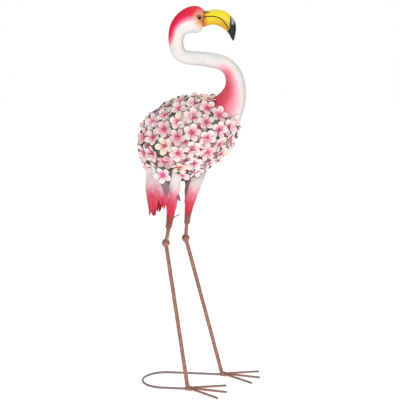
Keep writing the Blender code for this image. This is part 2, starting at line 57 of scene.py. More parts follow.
# The egg of the body, as the solids have it
BODY_LENGTH = 0.262
BODY_HEIGHT = 0.182
BODY_WIDTH = 0.182
BODY_MIDDLE = Vector((-0.0310, MIDDLE, 0.6690))
BODY_TILT = math.radians(26.0)
EGG_TAPER = 0.11
AXIS = Vector((math.cos(BODY_TILT), 0.0, math.sin(BODY_TILT)))
LIFT = Vector((-math.sin(BODY_TILT), 0.0, math.cos(BODY_TILT)))

# Flowers in the solids' rings, wider than the solids' own so that they hide the shell
FLOWER_RADIUS = 0.0232
PETAL_LONG = 0.0100  # half a petal's length and width
PETAL_WIDE = 0.0084
BUTTON_RADIUS = 0.0034
BUTTON_HEIGHT = 0.0040
STUB_RADIUS = 0.0042
STUB_LENGTH = 0.0095
FLOWER_RISE = 0.0110
FLOWER_PITCH = 0.0435
RING_PITCH = 0.0350
RING_SHIFT = 0.176
RING_STAGGER = (0.6, 0.45, 0.8, 0.15, 0.25, 0.7, 0.05, 0.1, 0.0)  # from the tail forwards
MIDDLE_RING = len(RING_STAGGER) // 2
LEAST_ROOM = 0.0185  # from a small flower between the others to its neighbours
UNDER_SINK = 0.0030  # how much lower the small flowers sit
NECK_ROOM = 0.004  # kept free round the neck by the large flowers and by the small ones
SMALL_NECK_ROOM = 0.001
REAR_RINGS = ((-5, 0.3, 5), (-6, 0.0, 1))  # ring, stagger and number of the rear end's flowers
REAR_SINK = 0.004  # how much lower they sit than the others
BREAST_FLOWER = (0.447, 0.143, 0.200)  # shares of the body's length, width and height
BREAST_FACING = (0.90, 0.40, -0.10)
PETALS = 5
PETAL_SHEET = 0.0007

# Neck and head: shares of the scale, from the foot round the two bends to the face:
# forward, up, half height, half width
NECK_SCALE = 0.310
NECK_PATH_STEPS = 2
NECK_FOOT = BODY_MIDDLE + AXIS * BODY_LENGTH * 0.379 + LIFT * BODY_HEIGHT * 0.039
NECK_STATIONS = [
    (-0.050, -0.070, 0.120, 0.115),
    (-0.006, 0.002, 0.152, 0.142),
    (0.047, 0.068, 0.147, 0.136),
    (0.092, 0.145, 0.119, 0.112),
    (0.118, 0.228, 0.093, 0.089),
    (0.115, 0.312, 0.077, 0.074),
    (0.079, 0.396, 0.067, 0.066),
    (-0.006, 0.458, 0.064, 0.063),
    (-0.178, 0.484, 0.058, 0.058),
    (-0.279, 0.492, 0.057, 0.057),
    (-0.334, 0.512, 0.059, 0.058),
    (-0.367, 0.556, 0.060, 0.059),
    (-0.378, 0.605, 0.061, 0.060),
    (-0.380, 0.656, 0.065, 0.062),
    (-0.363, 0.722, 0.077, 0.067),
    (-0.315, 0.772, 0.097, 0.075),
    (-0.248, 0.805, 0.111, 0.081),
    (-0.190, 0.803, 0.110, 0.079),
    (-0.145, 0.799, 0.079, 0.060),
]
EYE_PLACE = (-0.172, 0.814, 0.077)
EYE_RADIUS = 0.0048
LID_RADIUS = 0.0056
LID_THICK = 0.0009  # half the ring's thickness
LID_PROUD = 0.0004

# Beak: shares of its length: forward and up of the upper edge, the same of the lower edge,
# half width, and how far down the mouth line runs from the upper edge to the lower one
BEAK_LENGTH = 0.084
BEAK_ROOT = Vector((NECK_FOOT.x - 0.150 * NECK_SCALE, MIDDLE,
                    NECK_FOOT.z + 0.810 * NECK_SCALE))
BEAK_STATIONS = [
    (-0.060, 0.245, -0.060, -0.240, 0.172, 0.40),
    (0.010, 0.248, 0.054, -0.238, 0.178, 0.41),
    (0.206, 0.266, 0.176, -0.194, 0.167, 0.44),
    (0.360, 0.284, 0.308, -0.180, 0.157, 0.47),
    (0.515, 0.278, 0.442, -0.202, 0.149, 0.52),
    (0.672, 0.226, 0.558, -0.256, 0.140, 0.58),
    (0.804, 0.136, 0.640, -0.316, 0.129, 0.66),
    (0.908, 0.022, 0.712, -0.374, 0.117, 0.74),
    (0.984, -0.108, 0.766, -0.430, 0.101, 0.80),
    (1.010, -0.264, 0.812, -0.502, 0.083, 0.85),
    (0.996, -0.440, 0.856, -0.585, 0.060, 0.90),
    (0.944, -0.652, 0.912, -0.668, 0.014, 0.92),
]

# Legs and feet
ROD = 0.006
LEG_TUBE = 0.011
SHEET = 0.0012
FOOT_SPREAD = 0.128
FOOT_FORWARD = {"right": -0.024, "left": 0.055}
FOOT_TURN = math.radians(-7.0)
TOE_FAN = math.radians(28.5)
TOE_LENGTH = 0.106
TOE_LIFT = 0.0025
WELD_HEIGHT = 0.011
WELD_PROUD = 0.003
HOOP_REACH = 0.1332
HOOP_SHORT = 0.004  # from each end of the hoop's rod to the middle of the foot
KNEE_HEIGHT = 0.3895
KNEE_SPREAD = 0.080
KNEE_FORWARD = {"right": -0.0855, "left": -0.0440}
KNEE_BALL = 0.0110
KNEE_CUT = 0.84  # share of the ball's radius where it is cut flat, above and below
COLLAR_HEIGHT = 0.0016
HIP_SPREAD = 0.072
HIP_FORWARD = {"right": -0.0615, "left": -0.0036}
HIP_SINK = 0.016
LEG_BOW = {"right": 0.0044, "left": -0.0075}
LEG_TOP = 0.065

# Thighs, sheet wrapped round the leg: fullness, where it is reached, lean, and the heading of
# the overlapping edge at the top and the foot of the sheet
THIGH_RADIUS = {"right": 0.0212, "left": 0.0245}
THIGH_SWELL = {"right": 0.95, "left": 0.85}
THIGH_LEAN = {"right": -0.0115, "left": 0.0}
SLEEVE_RISE = 0.0405
SLEEVE_RADIUS = LEG_TUBE / 2 + 0.001
LAP = 0.0030
LAP_LOW = 0.0020
LAP_TURN = math.radians(15.0)
SEAM = {"right": (math.radians(-72.0), math.radians(-207.0)),
        "left": (math.radians(-96.0), math.radians(-125.0))}
THIGH_SHADE = {"right": 0.0, "left": 0.75}  # how much painted shade darkens the top of each
# Tongues cut from the sheet and bent out: height, heading, three places out from the wall and
# up from that height, half thickness, half width
TONGUES = {
    "right": [(0.53, -25.0, ((-0.0010, 0.012), (0.0040, 0.0), (0.0085, -0.011)), 0.0006, 0.0070),
              (0.16, -20.0, ((0.0002, -0.0012), (0.0065, 0.0050), (0.0205, 0.0125)),
               0.0014, 0.0022)],
    "left": [(0.74, -150.0, ((-0.0010, 0.018), (0.0030, 0.002), (0.0062, -0.018)), 0.0006, 0.0090)],
}

# Tail feathers: back and aside in shares of the body, swing, heading, length, width, cup,
# teeth of the torn end and their depth
TAIL_SINK = 0.012
FEATHER_BULGE = 0.6
TAIL_FEATHERS = {
    "middle": (-0.410, 0.0, 0.0020, math.pi, 0.152, 0.052, 0.012, 3, 0.06),
    "inner": (-0.366, 0.209, 0.0080, math.radians(125.0), 0.149, 0.042, 0.005, 2, 0.10),
    "outer": (-0.309, 0.297, 0.0225, math.radians(105.0), 0.129, 0.032, 0.004, 2, 0.12),
    "front": (-0.302, 0.363, 0.0360, math.radians(97.0), 0.142, 0.036, 0.003, 3, 0.08),
}
# The wedge of painted shade on the front feathers, in the shadow between tail and near thigh:
# the height of its top, its back and front edge there, and how far they close in for each metre down
WEDGE_TOP = 0.552
WEDGE_BACK, WEDGE_FRONT = -0.0955, -0.0640
WEDGE_BACK_SLOPE, WEDGE_FRONT_SLOPE = 0.37, 0.36
# The hanging flower: forward of the front feather's root and below it, proud of the feather
LOW_FLOWER = (0.0255, 0.0500)
LOW_PROUD = 0.0087
LOW_TILT = math.radians(20.0)
LOW_ROOM = 0.032

# Floor, lamps with their place, size and power, and camera
FLOOR_SINK = 0.0004
FLOOR_GLOW = 0.62
LAMPS = [("key", (1.1, -2.3, 1.9), 1.2, 17.0), ("top", (0.1, -0.4, 2.9), 1.4, 8.0),
         ("behind", (0.4, 2.0, 2.2), 1.2, 8.0)]
LAMP_TARGET = Vector((0.0, 0.0, 0.6))
CAMERA_TURN = math.radians(7.2)
CAMERA_FAR = 2.42
CAMERA_HEIGHT = 0.840
CAMERA_PITCH = math.radians(-8.0)
CAMERA_LENS = 83.25


# Paints

def linear(text):
    """An sRGB hex value as linear red, green, blue and alpha."""
    parts = [int(text[k:k + 2], 16) / 255 for k in (1, 3, 5)]
    return tuple(p / 12.92 if p <= 0.04045 else ((p + 0.055) / 1.055) ** 2.4
                 for p in parts) + (1.0,)


def add(tree, kind, settings=None, links=None, stops=None):
    """Adds one node. Settings are its properties or the values of its inputs, with colours as
    hex; links join inputs to nodes or sockets; stops are the places and colours of a ramp."""
    node = tree.nodes.new("ShaderNode" + kind)
    named = {}
    for key, value in (settings or {}).items():
        if isinstance(key, str) and key.islower():
            setattr(node, key, value)
        else:
            named[key] = value

    def socket(key):
        if isinstance(key, int):
            return node.inputs[key]
        return next(s for s in node.inputs if s.enabled and s.name == key)

    for key, value in named.items():
        socket(key).default_value = linear(value) if isinstance(value, str) else value
    for key, source in (links or {}).items():
        if isinstance(source, bpy.types.Node):
            source = next(s for s in source.outputs if s.enabled)
        tree.links.new(source, socket(key))
    if stops:
        elements = node.color_ramp.elements
        while len(elements) < len(stops):
            elements.new(0.5)
        for element, (place, colour) in zip(elements, stops):
            element.position = place
            element.color = linear(colour)
    return node


def set_inputs(node, values):
    for socket, value in values.items():
        node.inputs[socket].default_value = linear(value) if isinstance(value, str) else value


def painted(name, roughness, coat, ripple, depth, metallic=0.0, specular=0.5):
    """A material for paint on steel, with its tree and the place on the statue. It has the
    ripple that brush or spray leaves, so many metres long and deep, and patchy gloss."""
    material = bpy.data.materials.new(name)
    material.use_nodes = True
    tree = material.node_tree
    shader = tree.nodes["Principled BSDF"]
    place = add(tree, "TexCoord").outputs["Object"]
    waves = add(tree, "TexNoise", {"Scale": 1 / ripple, "Detail": 2.0}, {"Vector": place})
    bump = add(tree, "Bump", {"Strength": 0.6, "Distance": depth}, {"Height": waves})
    tree.links.new(bump.outputs[0], shader.inputs["Normal"])
    patches = add(tree, "TexNoise", {"Scale": 0.15 / ripple}, {"Vector": place})
    gloss = add(tree, "MapRange", {"From Min": 0.3, "From Max": 0.7, "To Min": roughness * 1.2,
                                   "To Max": roughness * 0.85}, {"Value": patches})
    tree.links.new(gloss.outputs[0], shader.inputs["Roughness"])
    set_inputs(shader, {"IOR": 1.5, "Specular IOR Level": specular, "Metallic": metallic,
                        "Coat Weight": coat, "Coat Roughness": 0.25})
    return material, tree, place


def wear(material, colour):
    """Gives the material the colour that comes out of a node."""
    shader = material.node_tree.nodes["Principled BSDF"]
    result = next(s for s in colour.outputs if s.enabled)
    material.node_tree.links.new(result, shader.inputs["Base Color"])
    return material


def mottled(tree, place, scale, stops, **noise):
    """A colour that wanders between the stops of a ramp, so many times a metre."""
    cloud = add(tree, "TexNoise", {"Scale": scale, **noise}, {"Vector": place})
    return add(tree, "ValToRGB", links={"Fac": cloud}, stops=stops)


def mottled_paint(name, roughness, coat, ripple, depth, scale, stops, specular=0.5):
    """A plain paint with nothing sprayed over it, only mottled."""
    material, tree, place = painted(name, roughness, coat, ripple, depth, specular=specular)
    return wear(material, mottled(tree, place, scale, stops))


def coat_of(tree, place, name, blotch, spread, stops, under, start, end):
    """An airbrushed coat over the colour under it: the amount is an attribute of the piece,
    made cloudy by noise, and it fades in between start and end."""
    amount = add(tree, "Attribute", {"attribute_name": name}).outputs["Fac"]
    cloud = add(tree, "TexNoise", {"Scale": 1 / blotch, "Detail": 3.0}, {"Vector": place})
    shift = add(tree, "MapRange", {"To Min": -spread, "To Max": spread}, {"Value": cloud})
    amount = add(tree, "Math", {"operation": "ADD"}, {0: amount, 1: shift})
    colour = add(tree, "ValToRGB", links={"Fac": amount}, stops=stops)
    cover = add(tree, "MapRange", {"interpolation_type": "SMOOTHSTEP", "From Min": start,
                                   "From Max": end}, {"Value": amount})
    return add(tree, "Mix", {"data_type": "RGBA"}, {"Factor": cover, "A": under, "B": colour})


def neck_enamel():
    """Satin enamel, airbrushed: white, with a red crown and nape, a pink and red throat, peach
    round the eye, and painted shade: soft grey along the sides of the neck, dark red at the nape's edge."""
    material, tree, place = painted("airbrushed_neck_enamel", 0.36, 0.1, 0.0025, 0.0001,
                                    specular=0.3)
    white = mottled(tree, place, 33.0, [(0.3, "#E8E6E4"), (0.7, "#F0EEEC")])
    # Painted shade: soft grey along both sides of the neck, where they turn from the light.
    colour = coat_of(tree, place, "shade", 0.02, 0.03,
                     [(0.0, "#E9E6E4"), (1.0, "#B9B2B0")], white, 0.0, 1.0)
    colour = coat_of(tree, place, "throat", 0.014, 0.05,
                     [(0.05, "#FAE6E6"), (0.28, "#F8C0C8"), (0.52, "#F090A2"),
                      (0.78, "#F0566C"), (1.0, "#C8405A")], colour, 0.03, 0.22)
    # The crown's darkest stop is painted shade along the back edge of the nape.
    colour = coat_of(tree, place, "crown", 0.012, 0.05,
                     [(0.05, "#F4D8DE"), (0.28, "#F58CA8"), (0.50, "#F0305A"),
                      (0.82, "#EA0E38"), (0.95, "#A01636")], colour, 0.03, 0.22)
    colour = coat_of(tree, place, "face", 0.008, 0.10,
                     [(0.0, "#F6E2D4"), (0.45, "#F4C49E"), (0.75, "#E29A50"),
                      (1.0, "#B0642A")], colour, 0.05, 0.75)
    colour = coat_of(tree, place, "lid_line", 0.004, 0.04,
                     [(0.0, "#B0363C"), (1.0, "#5A2018")], colour, 0.2, 0.9)
    return wear(material, colour)


def beak_enamel():
    """Gloss enamel, yellow and paler along the ridge, brown at the root, black at the tip with
    a painted blue-grey highlight, and the mouth and nostril drawn with a fine dark brush."""
    material, tree, place = painted("gloss_beak_enamel", 0.26, 0.15, 0.002, 0.00008,
                                    specular=0.3)
    yellow = add(tree, "Attribute", {"attribute_name": "ridge"}).outputs["Fac"]
    colour = add(tree, "ValToRGB", links={"Fac": yellow},
                 stops=[(0.0, "#D8A814"), (0.3, "#F0CA10"), (0.75, "#F4E010"), (1.0, "#EEE040")])
    colour = coat_of(tree, place, "root", 0.005, 0.12,
                     [(0.0, "#F0C022"), (0.5, "#DE942C"), (1.0, "#B06428")], colour, 0.1, 0.8)
    colour = coat_of(tree, place, "line", 0.004, 0.08,
                     [(0.0, "#6A4A14"), (1.0, "#4A3210")], colour, 0.25, 0.7)
    colour = coat_of(tree, place, "tip", 0.005, 0.06,
                     [(0.0, "#5A4E1A"), (0.5, "#1D1D22"), (1.0, "#121216")], colour, 0.25, 0.6)
    # A painted highlight: a blue-grey streak of reflected light on the black tip.
    colour = coat_of(tree, place, "painted_tip_highlight", 0.004, 0.10,
                     [(0.0, "#3A4256"), (1.0, "#A9B2C0")], colour, 0.2, 0.9)
    return wear(material, colour)


def flower_enamel():
    """Sprayed flowers: magenta-pink hearts that fade over the petals to pale pink or cream, and
    bare grey undercoat on the backs."""
    material, tree, place = painted("sprayed_flower_enamel", 0.42, 0.15, 0.0018, 0.0001)
    heart = add(tree, "Attribute", {"attribute_name": "heart"}).outputs["Fac"]
    cloud = add(tree, "TexNoise", {"Scale": 170.0, "Detail": 3.0}, {"Vector": place})
    shift = add(tree, "MapRange", {"To Min": -0.2, "To Max": 0.2}, {"Value": cloud})
    reach = add(tree, "Math", {"operation": "ADD"}, {0: heart, 1: shift})
    pink = add(tree, "ValToRGB", links={"Fac": reach},
               stops=[(0.0, "#F0508A"), (0.25, "#F46E98"), (0.45, "#F9A0B2"), (0.62, "#FACCD2"),
                      (0.85, "#F8EAE8")])
    cream = add(tree, "ValToRGB", links={"Fac": reach},
                stops=[(0.0, "#F0608A"), (0.25, "#F48298"), (0.45, "#F6B2B0"), (0.62, "#F6D8CA"),
                       (0.85, "#F0E8D4")])
    tint = add(tree, "Attribute", {"attribute_name": "tint"}).outputs["Fac"]
    pick_cream = add(tree, "MapRange", {"From Min": 0.66, "From Max": 0.76}, {"Value": tint})
    colour = add(tree, "Mix", {"data_type": "RGBA"},
                 {"Factor": pick_cream, "A": pink, "B": cream})
    pick_rose = add(tree, "MapRange", {"From Min": 0.30, "From Max": 0.0, "To Max": 0.55},
                    {"Value": tint})
    colour = add(tree, "Mix", {"data_type": "RGBA", "B": "#E86A88"},
                 {"Factor": pick_rose, "A": colour})
    colour = coat_of(tree, place, "back", 0.006, 0.05,
                     [(0.0, "#A59B98"), (1.0, "#8A827F")], colour, 0.3, 0.7)
    return wear(material, colour)


def feather_enamel(name, heights):
    """Airbrushed sheet: the colour goes by height above the ground, with fine streaks drawn
    down it, and a mauve-grey painted shade where an attribute of the sheet says that it lies
    in shade."""
    material, tree, place = painted(name, 0.40, 0.1, 0.0025, 0.00012, specular=0.3)
    height = add(tree, "SeparateXYZ", links={"Vector": place}).outputs["Z"]
    cloud = add(tree, "TexNoise", {"Scale": 60.0, "Detail": 3.0}, {"Vector": place})
    shift = add(tree, "MapRange", {"To Min": -0.018, "To Max": 0.018}, {"Value": cloud})
    height = add(tree, "Math", {"operation": "ADD"}, {0: height, 1: shift})
    low, high = heights[0][0], heights[-1][0]
    share = add(tree, "MapRange", {"From Min": low, "From Max": high}, {"Value": height})
    colour = add(tree, "ValToRGB", links={"Fac": share},
                 stops=[((z - low) / (high - low), text) for z, text in heights])
    stretched = add(tree, "Mapping", {"Scale": (1.0, 1.0, 0.12)}, {"Vector": place})
    streaks = add(tree, "TexNoise", {"Scale": 420.0, "Detail": 4.0}, {"Vector": stretched})
    thin = add(tree, "MapRange", {"From Min": 0.5, "From Max": 0.8, "To Max": 0.25},
               {"Value": streaks})
    colour = add(tree, "Mix", {"data_type": "RGBA", "B": "#E5C6C8"},
                 {"Factor": thin, "A": colour})
    # Painted shade: mauve-grey where the sheet lies in shade, under an overlap, in the recess between
    # tail and thigh and along the edges.
    colour = coat_of(tree, place, "painted_shade", 0.01, 0.06,
                     [(0.0, "#B9A3A6"), (0.6, "#9C8086"), (1.0, "#7F666C")], colour, 0.05, 1.3)
    return wear(material, colour)


def rod_paint():
    """Copper-brown paint brushed over steel rod and tube: thin, streaky, a little metallic."""
    material, tree, place = painted("brushed_copper_brown_paint", 0.30, 0.3, 0.003, 0.0003,
                                    metallic=0.3)
    colour = mottled(tree, place, 120.0,
                     [(0.25, "#74473A"), (0.45, "#9A6A5A"), (0.62, "#AE7C6B"), (0.85, "#C29181")],
                     Detail=5.0, Roughness=0.6)
    # Greyer where bare steel shows through the thin paint.
    colour = coat_of(tree, place, "bare_and_shade", 0.006, 0.15,
                     [(0.0, "#9C8880"), (1.0, "#807472")], colour, 0.1, 0.8)
    return wear(material, colour)


NECK_ENAMEL = neck_enamel()
BEAK_ENAMEL = beak_enamel()
FLOWER_ENAMEL = flower_enamel()
# Matt grey undercoat, which shows between the flowers
SHELL_PAINT = mottled_paint("matt_shell_undercoat", 0.75, 0.0, 0.003, 0.0002, 90.0,
                            [(0.3, "#968A84"), (0.7, "#BCAEA8")])
ROD_PAINT = rod_paint()
# A drop of dark-brown gloss enamel
EYE_ENAMEL = mottled_paint("gloss_eye_enamel", 0.12, 0.0, 0.004, 0.00001, 500.0,
                           [(0.3, "#260A08"), (0.8, "#42140F")], specular=0.25)
# A painted ring of pale pink cream round the eye
EYELID_ENAMEL = mottled_paint("cream_eyelid_enamel", 0.3, 0.3, 0.002, 0.00005, 300.0,
                              [(0.3, "#D9967F"), (0.8, "#F0CDBC")])
TAIL_ENAMEL = feather_enamel("airbrushed_tail_enamel", [
    (0.452, "#7C1230"), (0.472, "#C40E36"), (0.492, "#DA143E"), (0.512, "#E24266"),
    (0.530, "#E8869A"), (0.548, "#EED0D4"), (0.572, "#F0EAEA")])
THIGH_ENAMEL = feather_enamel("airbrushed_thigh_enamel", [
    (0.428, "#8C5C4C"), (0.446, "#86493C"), (0.456, "#A83238"), (0.466, "#D41036"),
    (0.484, "#DC2A4E"), (0.503, "#E66A86"), (0.524, "#EBA9B6"), (0.548, "#EAE4E3")])


# Ways of working

def deselect():
    if bpy.context.object and bpy.context.object.mode != "OBJECT":
        bpy.ops.object.mode_set(mode="OBJECT")
    bpy.ops.object.select_all(action="DESELECT")


def pick(*pieces):
    """Makes these the only selected pieces, with the first one active."""
    deselect()
    for piece in pieces:
        piece.select_set(True)
    bpy.context.view_layer.objects.active = pieces[0]


def settle(piece):
    """Applies place, turn and size, so that the piece's object sits at the origin."""
    pick(piece)
    bpy.ops.object.transform_apply(location=True, rotation=True, scale=True)


def finish_with(piece, kind, **settings):
    """Adds one modifier and applies it."""
    pick(piece)
    step = piece.modifiers.new(kind.lower(), kind)
    for key, value in settings.items():
        setattr(step, key, value)
    bpy.ops.object.modifier_apply(modifier=step.name)


def subdivide(piece, levels):
    finish_with(piece, "SUBSURF", levels=levels, render_levels=levels)


def sculpt(piece, rule):
    """Moves every point of the piece to where the rule puts it."""
    for v in piece.data.vertices:
        v.co = rule(v.co.copy())


def mark(piece, name, amount):
    """Writes how much of a coat each point takes."""
    layer = piece.data.attributes.new(name, "FLOAT", "POINT")
    layer.data.foreach_set("value", [amount(v.co) for v in piece.data.vertices])


def select(piece, kind, wanted):
    """Goes into edit mode and selects only the points, edges or faces that are wanted."""
    pick(piece)
    bpy.ops.object.mode_set(mode="EDIT")
    bpy.ops.mesh.select_mode(type=kind)
    bpy.ops.mesh.select_all(action="DESELECT")
    bm = bmesh.from_edit_mesh(piece.data)
    for part in {"VERT": bm.verts, "EDGE": bm.edges, "FACE": bm.faces}[kind]:
        part.select = wanted(part)
    bm.select_flush_mode()
    bmesh.update_edit_mesh(piece.data)


def edit_all(piece):
    pick(piece)
    bpy.ops.object.mode_set(mode="EDIT")
    bpy.ops.mesh.select_all(action="SELECT")


def disc(sides, radius, place=(0.0, 0.0, 0.0), turned=(0.0, 0.0, 0.0)):
    """A filled disc, left in edit mode to be drawn out."""
    deselect()
    bpy.ops.mesh.primitive_circle_add(vertices=sides, radius=radius, fill_type="NGON",
                                      location=place, rotation=turned)
    piece = bpy.context.object
    bpy.ops.object.mode_set(mode="EDIT")
    return piece


def extrude(by):
    bpy.ops.mesh.extrude_region_move(TRANSFORM_OT_translate={"value": by})


def resize(factors, about):
    bpy.ops.transform.resize(value=factors, center_override=about)


def lay_sheet(columns, rows, rule):
    """Sheet metal: a grid that the rule sets in place, thickened. The rule also says how much
    painted shade, 0 to 1, each point takes."""
    deselect()
    bpy.ops.mesh.primitive_grid_add(x_subdivisions=columns, y_subdivisions=rows, size=2.0)
    piece = bpy.context.object
    shades = []
    for v in piece.data.vertices:
        v.co, amount = rule(v.co.copy())
        shades.append(amount)
    layer = piece.data.attributes.new("painted_shade", "FLOAT", "POINT")
    layer.data.foreach_set("value", shades)
    finish_with(piece, "SOLIDIFY", thickness=SHEET, offset=0.0)
    return piece


def hand_in(piece, name, material, nodes=(), angle=50.0):
    """Smooths, names and paints a finished piece, which rides on the statue and stands for its
    solids."""
    pick(piece)
    bpy.ops.object.shade_smooth_by_angle(angle=math.radians(angle))
    piece.name = name
    piece.data.name = name
    piece.data.materials.clear()
    piece.data.materials.append(material)
    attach(piece, "root")
    if nodes:
        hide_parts(*nodes)


def step_up(value, start, end):
    t = max(0.0, min(1.0, (value - start) / (end - start)))
    return t * t * (3 - 2 * t)


def spline(points, steps):
    """A smooth curve through tuples of any length, with so many steps between two of them."""
    ends = [points[0]] + list(points) + [points[-1]]
    curve = []
    for a, b, c, d in zip(ends, ends[1:], ends[2:], ends[3:]):
        for step in range(steps):
            t = step / steps
            curve.append(tuple(
                0.5 * (2 * q + (r - p) * t + (2 * p - 5 * q + 4 * r - s) * t * t
                       + (3 * q - p - 3 * r + s) * t ** 3)
                for p, q, r, s in zip(a, b, c, d)))
    curve.append(tuple(points[-1]))
    return curve


def lean_at(run, k):
    """How far from the vertical a run of points leans at one of them."""
    before, after = run[max(k - 1, 0)], run[min(k + 1, len(run) - 1)]
    return math.atan2(after[0] - before[0], after[1] - before[1])


def close_skin(piece):
    """Turns the faces of a piece in edit mode outwards and settles it."""
    bpy.ops.mesh.select_all(action="SELECT")
    bpy.ops.mesh.normals_make_consistent(inside=False)
    settle(piece)


def draw_out(sections, sides):
    """A closed skin: a disc, extruded, turned and resized from section to section in an upright
    plane along X. A section is its place, lean from the vertical, half height, half width."""
    place, lean, high, wide = sections[0]
    piece = disc(sides, high, place, (0.0, lean, 0.0))
    resize((1.0, wide / high, 1.0), place)
    for before, now in zip(sections, sections[1:]):
        place, lean, high, wide = now
        extrude(place - before[0])
        grow = high / before[2]
        resize((grow, grow, grow), place)
        resize((1.0, wide / before[3] / grow, 1.0), place)
        bpy.ops.transform.rotate(value=-math.remainder(lean - before[1], math.tau),
                                 orient_axis="Y", center_override=place)
    close_skin(piece)
    return piece


def run_rod(points, radius, sides=20, ends=(1.0, 1.0)):
    """A rod or tube: a disc extruded along a run of points. Ends are the sizes of its two end
    faces."""
    along = (points[1] - points[0]).normalized()
    piece = disc(sides, radius * ends[0], points[0], along.to_track_quat("Z", "Y").to_euler())
    sizes = [ends[0]] + [1.0] * (len(points) - 2) + [ends[1]]
    for k in range(1, len(points)):
        extrude(points[k] - points[k - 1])
        grow = sizes[k] / sizes[k - 1]
        if grow != 1.0:
            resize((grow, grow, grow), points[k])
    close_skin(piece)
    return piece


# Neck and head

def neck_path(steps):
    return spline([(NECK_FOOT.x + NECK_SCALE * x, NECK_FOOT.z + NECK_SCALE * z,
                    NECK_SCALE * high, NECK_SCALE * wide)
                   for x, z, high, wide in NECK_STATIONS], steps)


def neck_and_head():
    sides = 16
    path = neck_path(NECK_PATH_STEPS)
    sections = []
    for k, (x, z, high, wide) in enumerate(path):
        plump = 3.0 / (2.0 + math.cos(math.tau / sides))  # makes up for what smoothing takes
        sections.append((Vector((x, MIDDLE, z)), lean_at(path, k), high * plump, wide * plump))
    piece = draw_out(sections, sides)
    subdivide(piece, 2)
    fine = neck_path(4)
    spots = [Vector((x, 0.0, z)) for x, z, _, _ in fine]
    ways = [(spots[min(k + 1, len(spots) - 1)] - spots[max(k - 1, 0)]) / 2
            for k in range(len(spots))]

    def coats(point):
        """Share of the way along the neck, and the side, from -1 at the inside of the lower
        bend and the outside of the upper one to 1."""
        flat = Vector((point.x, 0.0, point.z))
        k = min(range(len(spots)), key=lambda j: (spots[j] - flat).length_squared)
        along = ways[k].normalized()
        off = flat - spots[k]
        share = (k + off.dot(along) / ways[k].length) / (len(spots) - 1)
        return share, off.dot(Vector((along.z, 0.0, -along.x))) / fine[k][2]

    found = {tuple(v.co): coats(v.co) for v in piece.data.vertices}
    eyes_at = [eye_centre(side) for side in SIDES]

    def throat(point):
        share, side = found[tuple(point)]
        base = 1.0 - step_up(share, 0.13, 0.32)
        deep = step_up(-side, -0.85 - 0.30 * base, 1.0 - 0.45 * base)
        return deep * (1.0 - step_up(share, 0.30, 0.43)) * (0.78 + 0.10 * base)

    def crown(point):
        share, side = found[tuple(point)]
        wide = 0.20 * step_up(share, 0.80, 0.92)
        red = step_up(-side, -0.35 - 0.2 * wide, 0.90 - wide) * step_up(share, 0.61, 0.80)
        # Painted shade: the red darkens towards the back edge of the nape.
        dark = step_up(-side, 0.45, 0.95) * (1.0 - step_up(share, 0.76, 0.84))
        return red * (0.82 + 0.16 * dark)

    # Painted shade along the neck's sides: none in the middle, most at the two edges.
    def shade(point):
        return step_up(abs(found[tuple(point)][1]), 0.55, 1.05) * 0.8

    def face(point):
        off = Vector((point.x - BEAK_ROOT.x, point.z - BEAK_ROOT.z + 0.004))
        return max(0.0, 1.0 - Vector((off.x, off.y * 0.9)).length / 0.034)

    def lid_line(point):
        gap = min((point - eye).length for eye in eyes_at)
        return step_up(gap, 0.0115, 0.0075) * step_up(point.z - BEAK_ROOT.z, -0.006, 0.006)

    for name, amount in (("throat", throat), ("crown", crown), ("shade", shade),
                         ("face", face), ("lid_line", lid_line)):
        mark(piece, name, amount)
    hand_in(piece, "neck_and_head_skin", NECK_ENAMEL, ["neck_and_head"])


def eye_centre(side):
    x, z, wide = EYE_PLACE
    return NECK_FOOT + Vector((x, SIDES[side] * wide, z)) * NECK_SCALE


def eyes():
    for side, sign in SIDES.items():
        centre = eye_centre(side)
        deselect()
        bpy.ops.mesh.primitive_uv_sphere_add(segments=24, ring_count=14, radius=EYE_RADIUS,
                                             location=centre, rotation=(math.pi / 2, 0.0, 0.0))
        bead = bpy.context.object
        bpy.ops.object.mode_set(mode="EDIT")
        resize((1.1, 0.8, 1.0), centre)
        settle(bead)
        hand_in(bead, "eye_bead_" + side, EYE_ENAMEL, ["eye_" + side])
        deselect()
        bpy.ops.mesh.primitive_torus_add(major_segments=32, minor_segments=12,
                                         major_radius=LID_RADIUS, minor_radius=LID_THICK,
                                         location=centre + Vector((0.0, sign * LID_PROUD, 0.0)),
                                         rotation=(math.pi / 2, 0.0, 0.0))
        lid = bpy.context.object
        bpy.ops.object.mode_set(mode="EDIT")
        resize((1.15, 1.0, 0.92), centre)
        settle(lid)
        hand_in(lid, "eyelid_" + side, EYELID_ENAMEL)


# Beak

def beak_point(x, z):
    return BEAK_ROOT + Vector((x, 0.0, z)) * BEAK_LENGTH


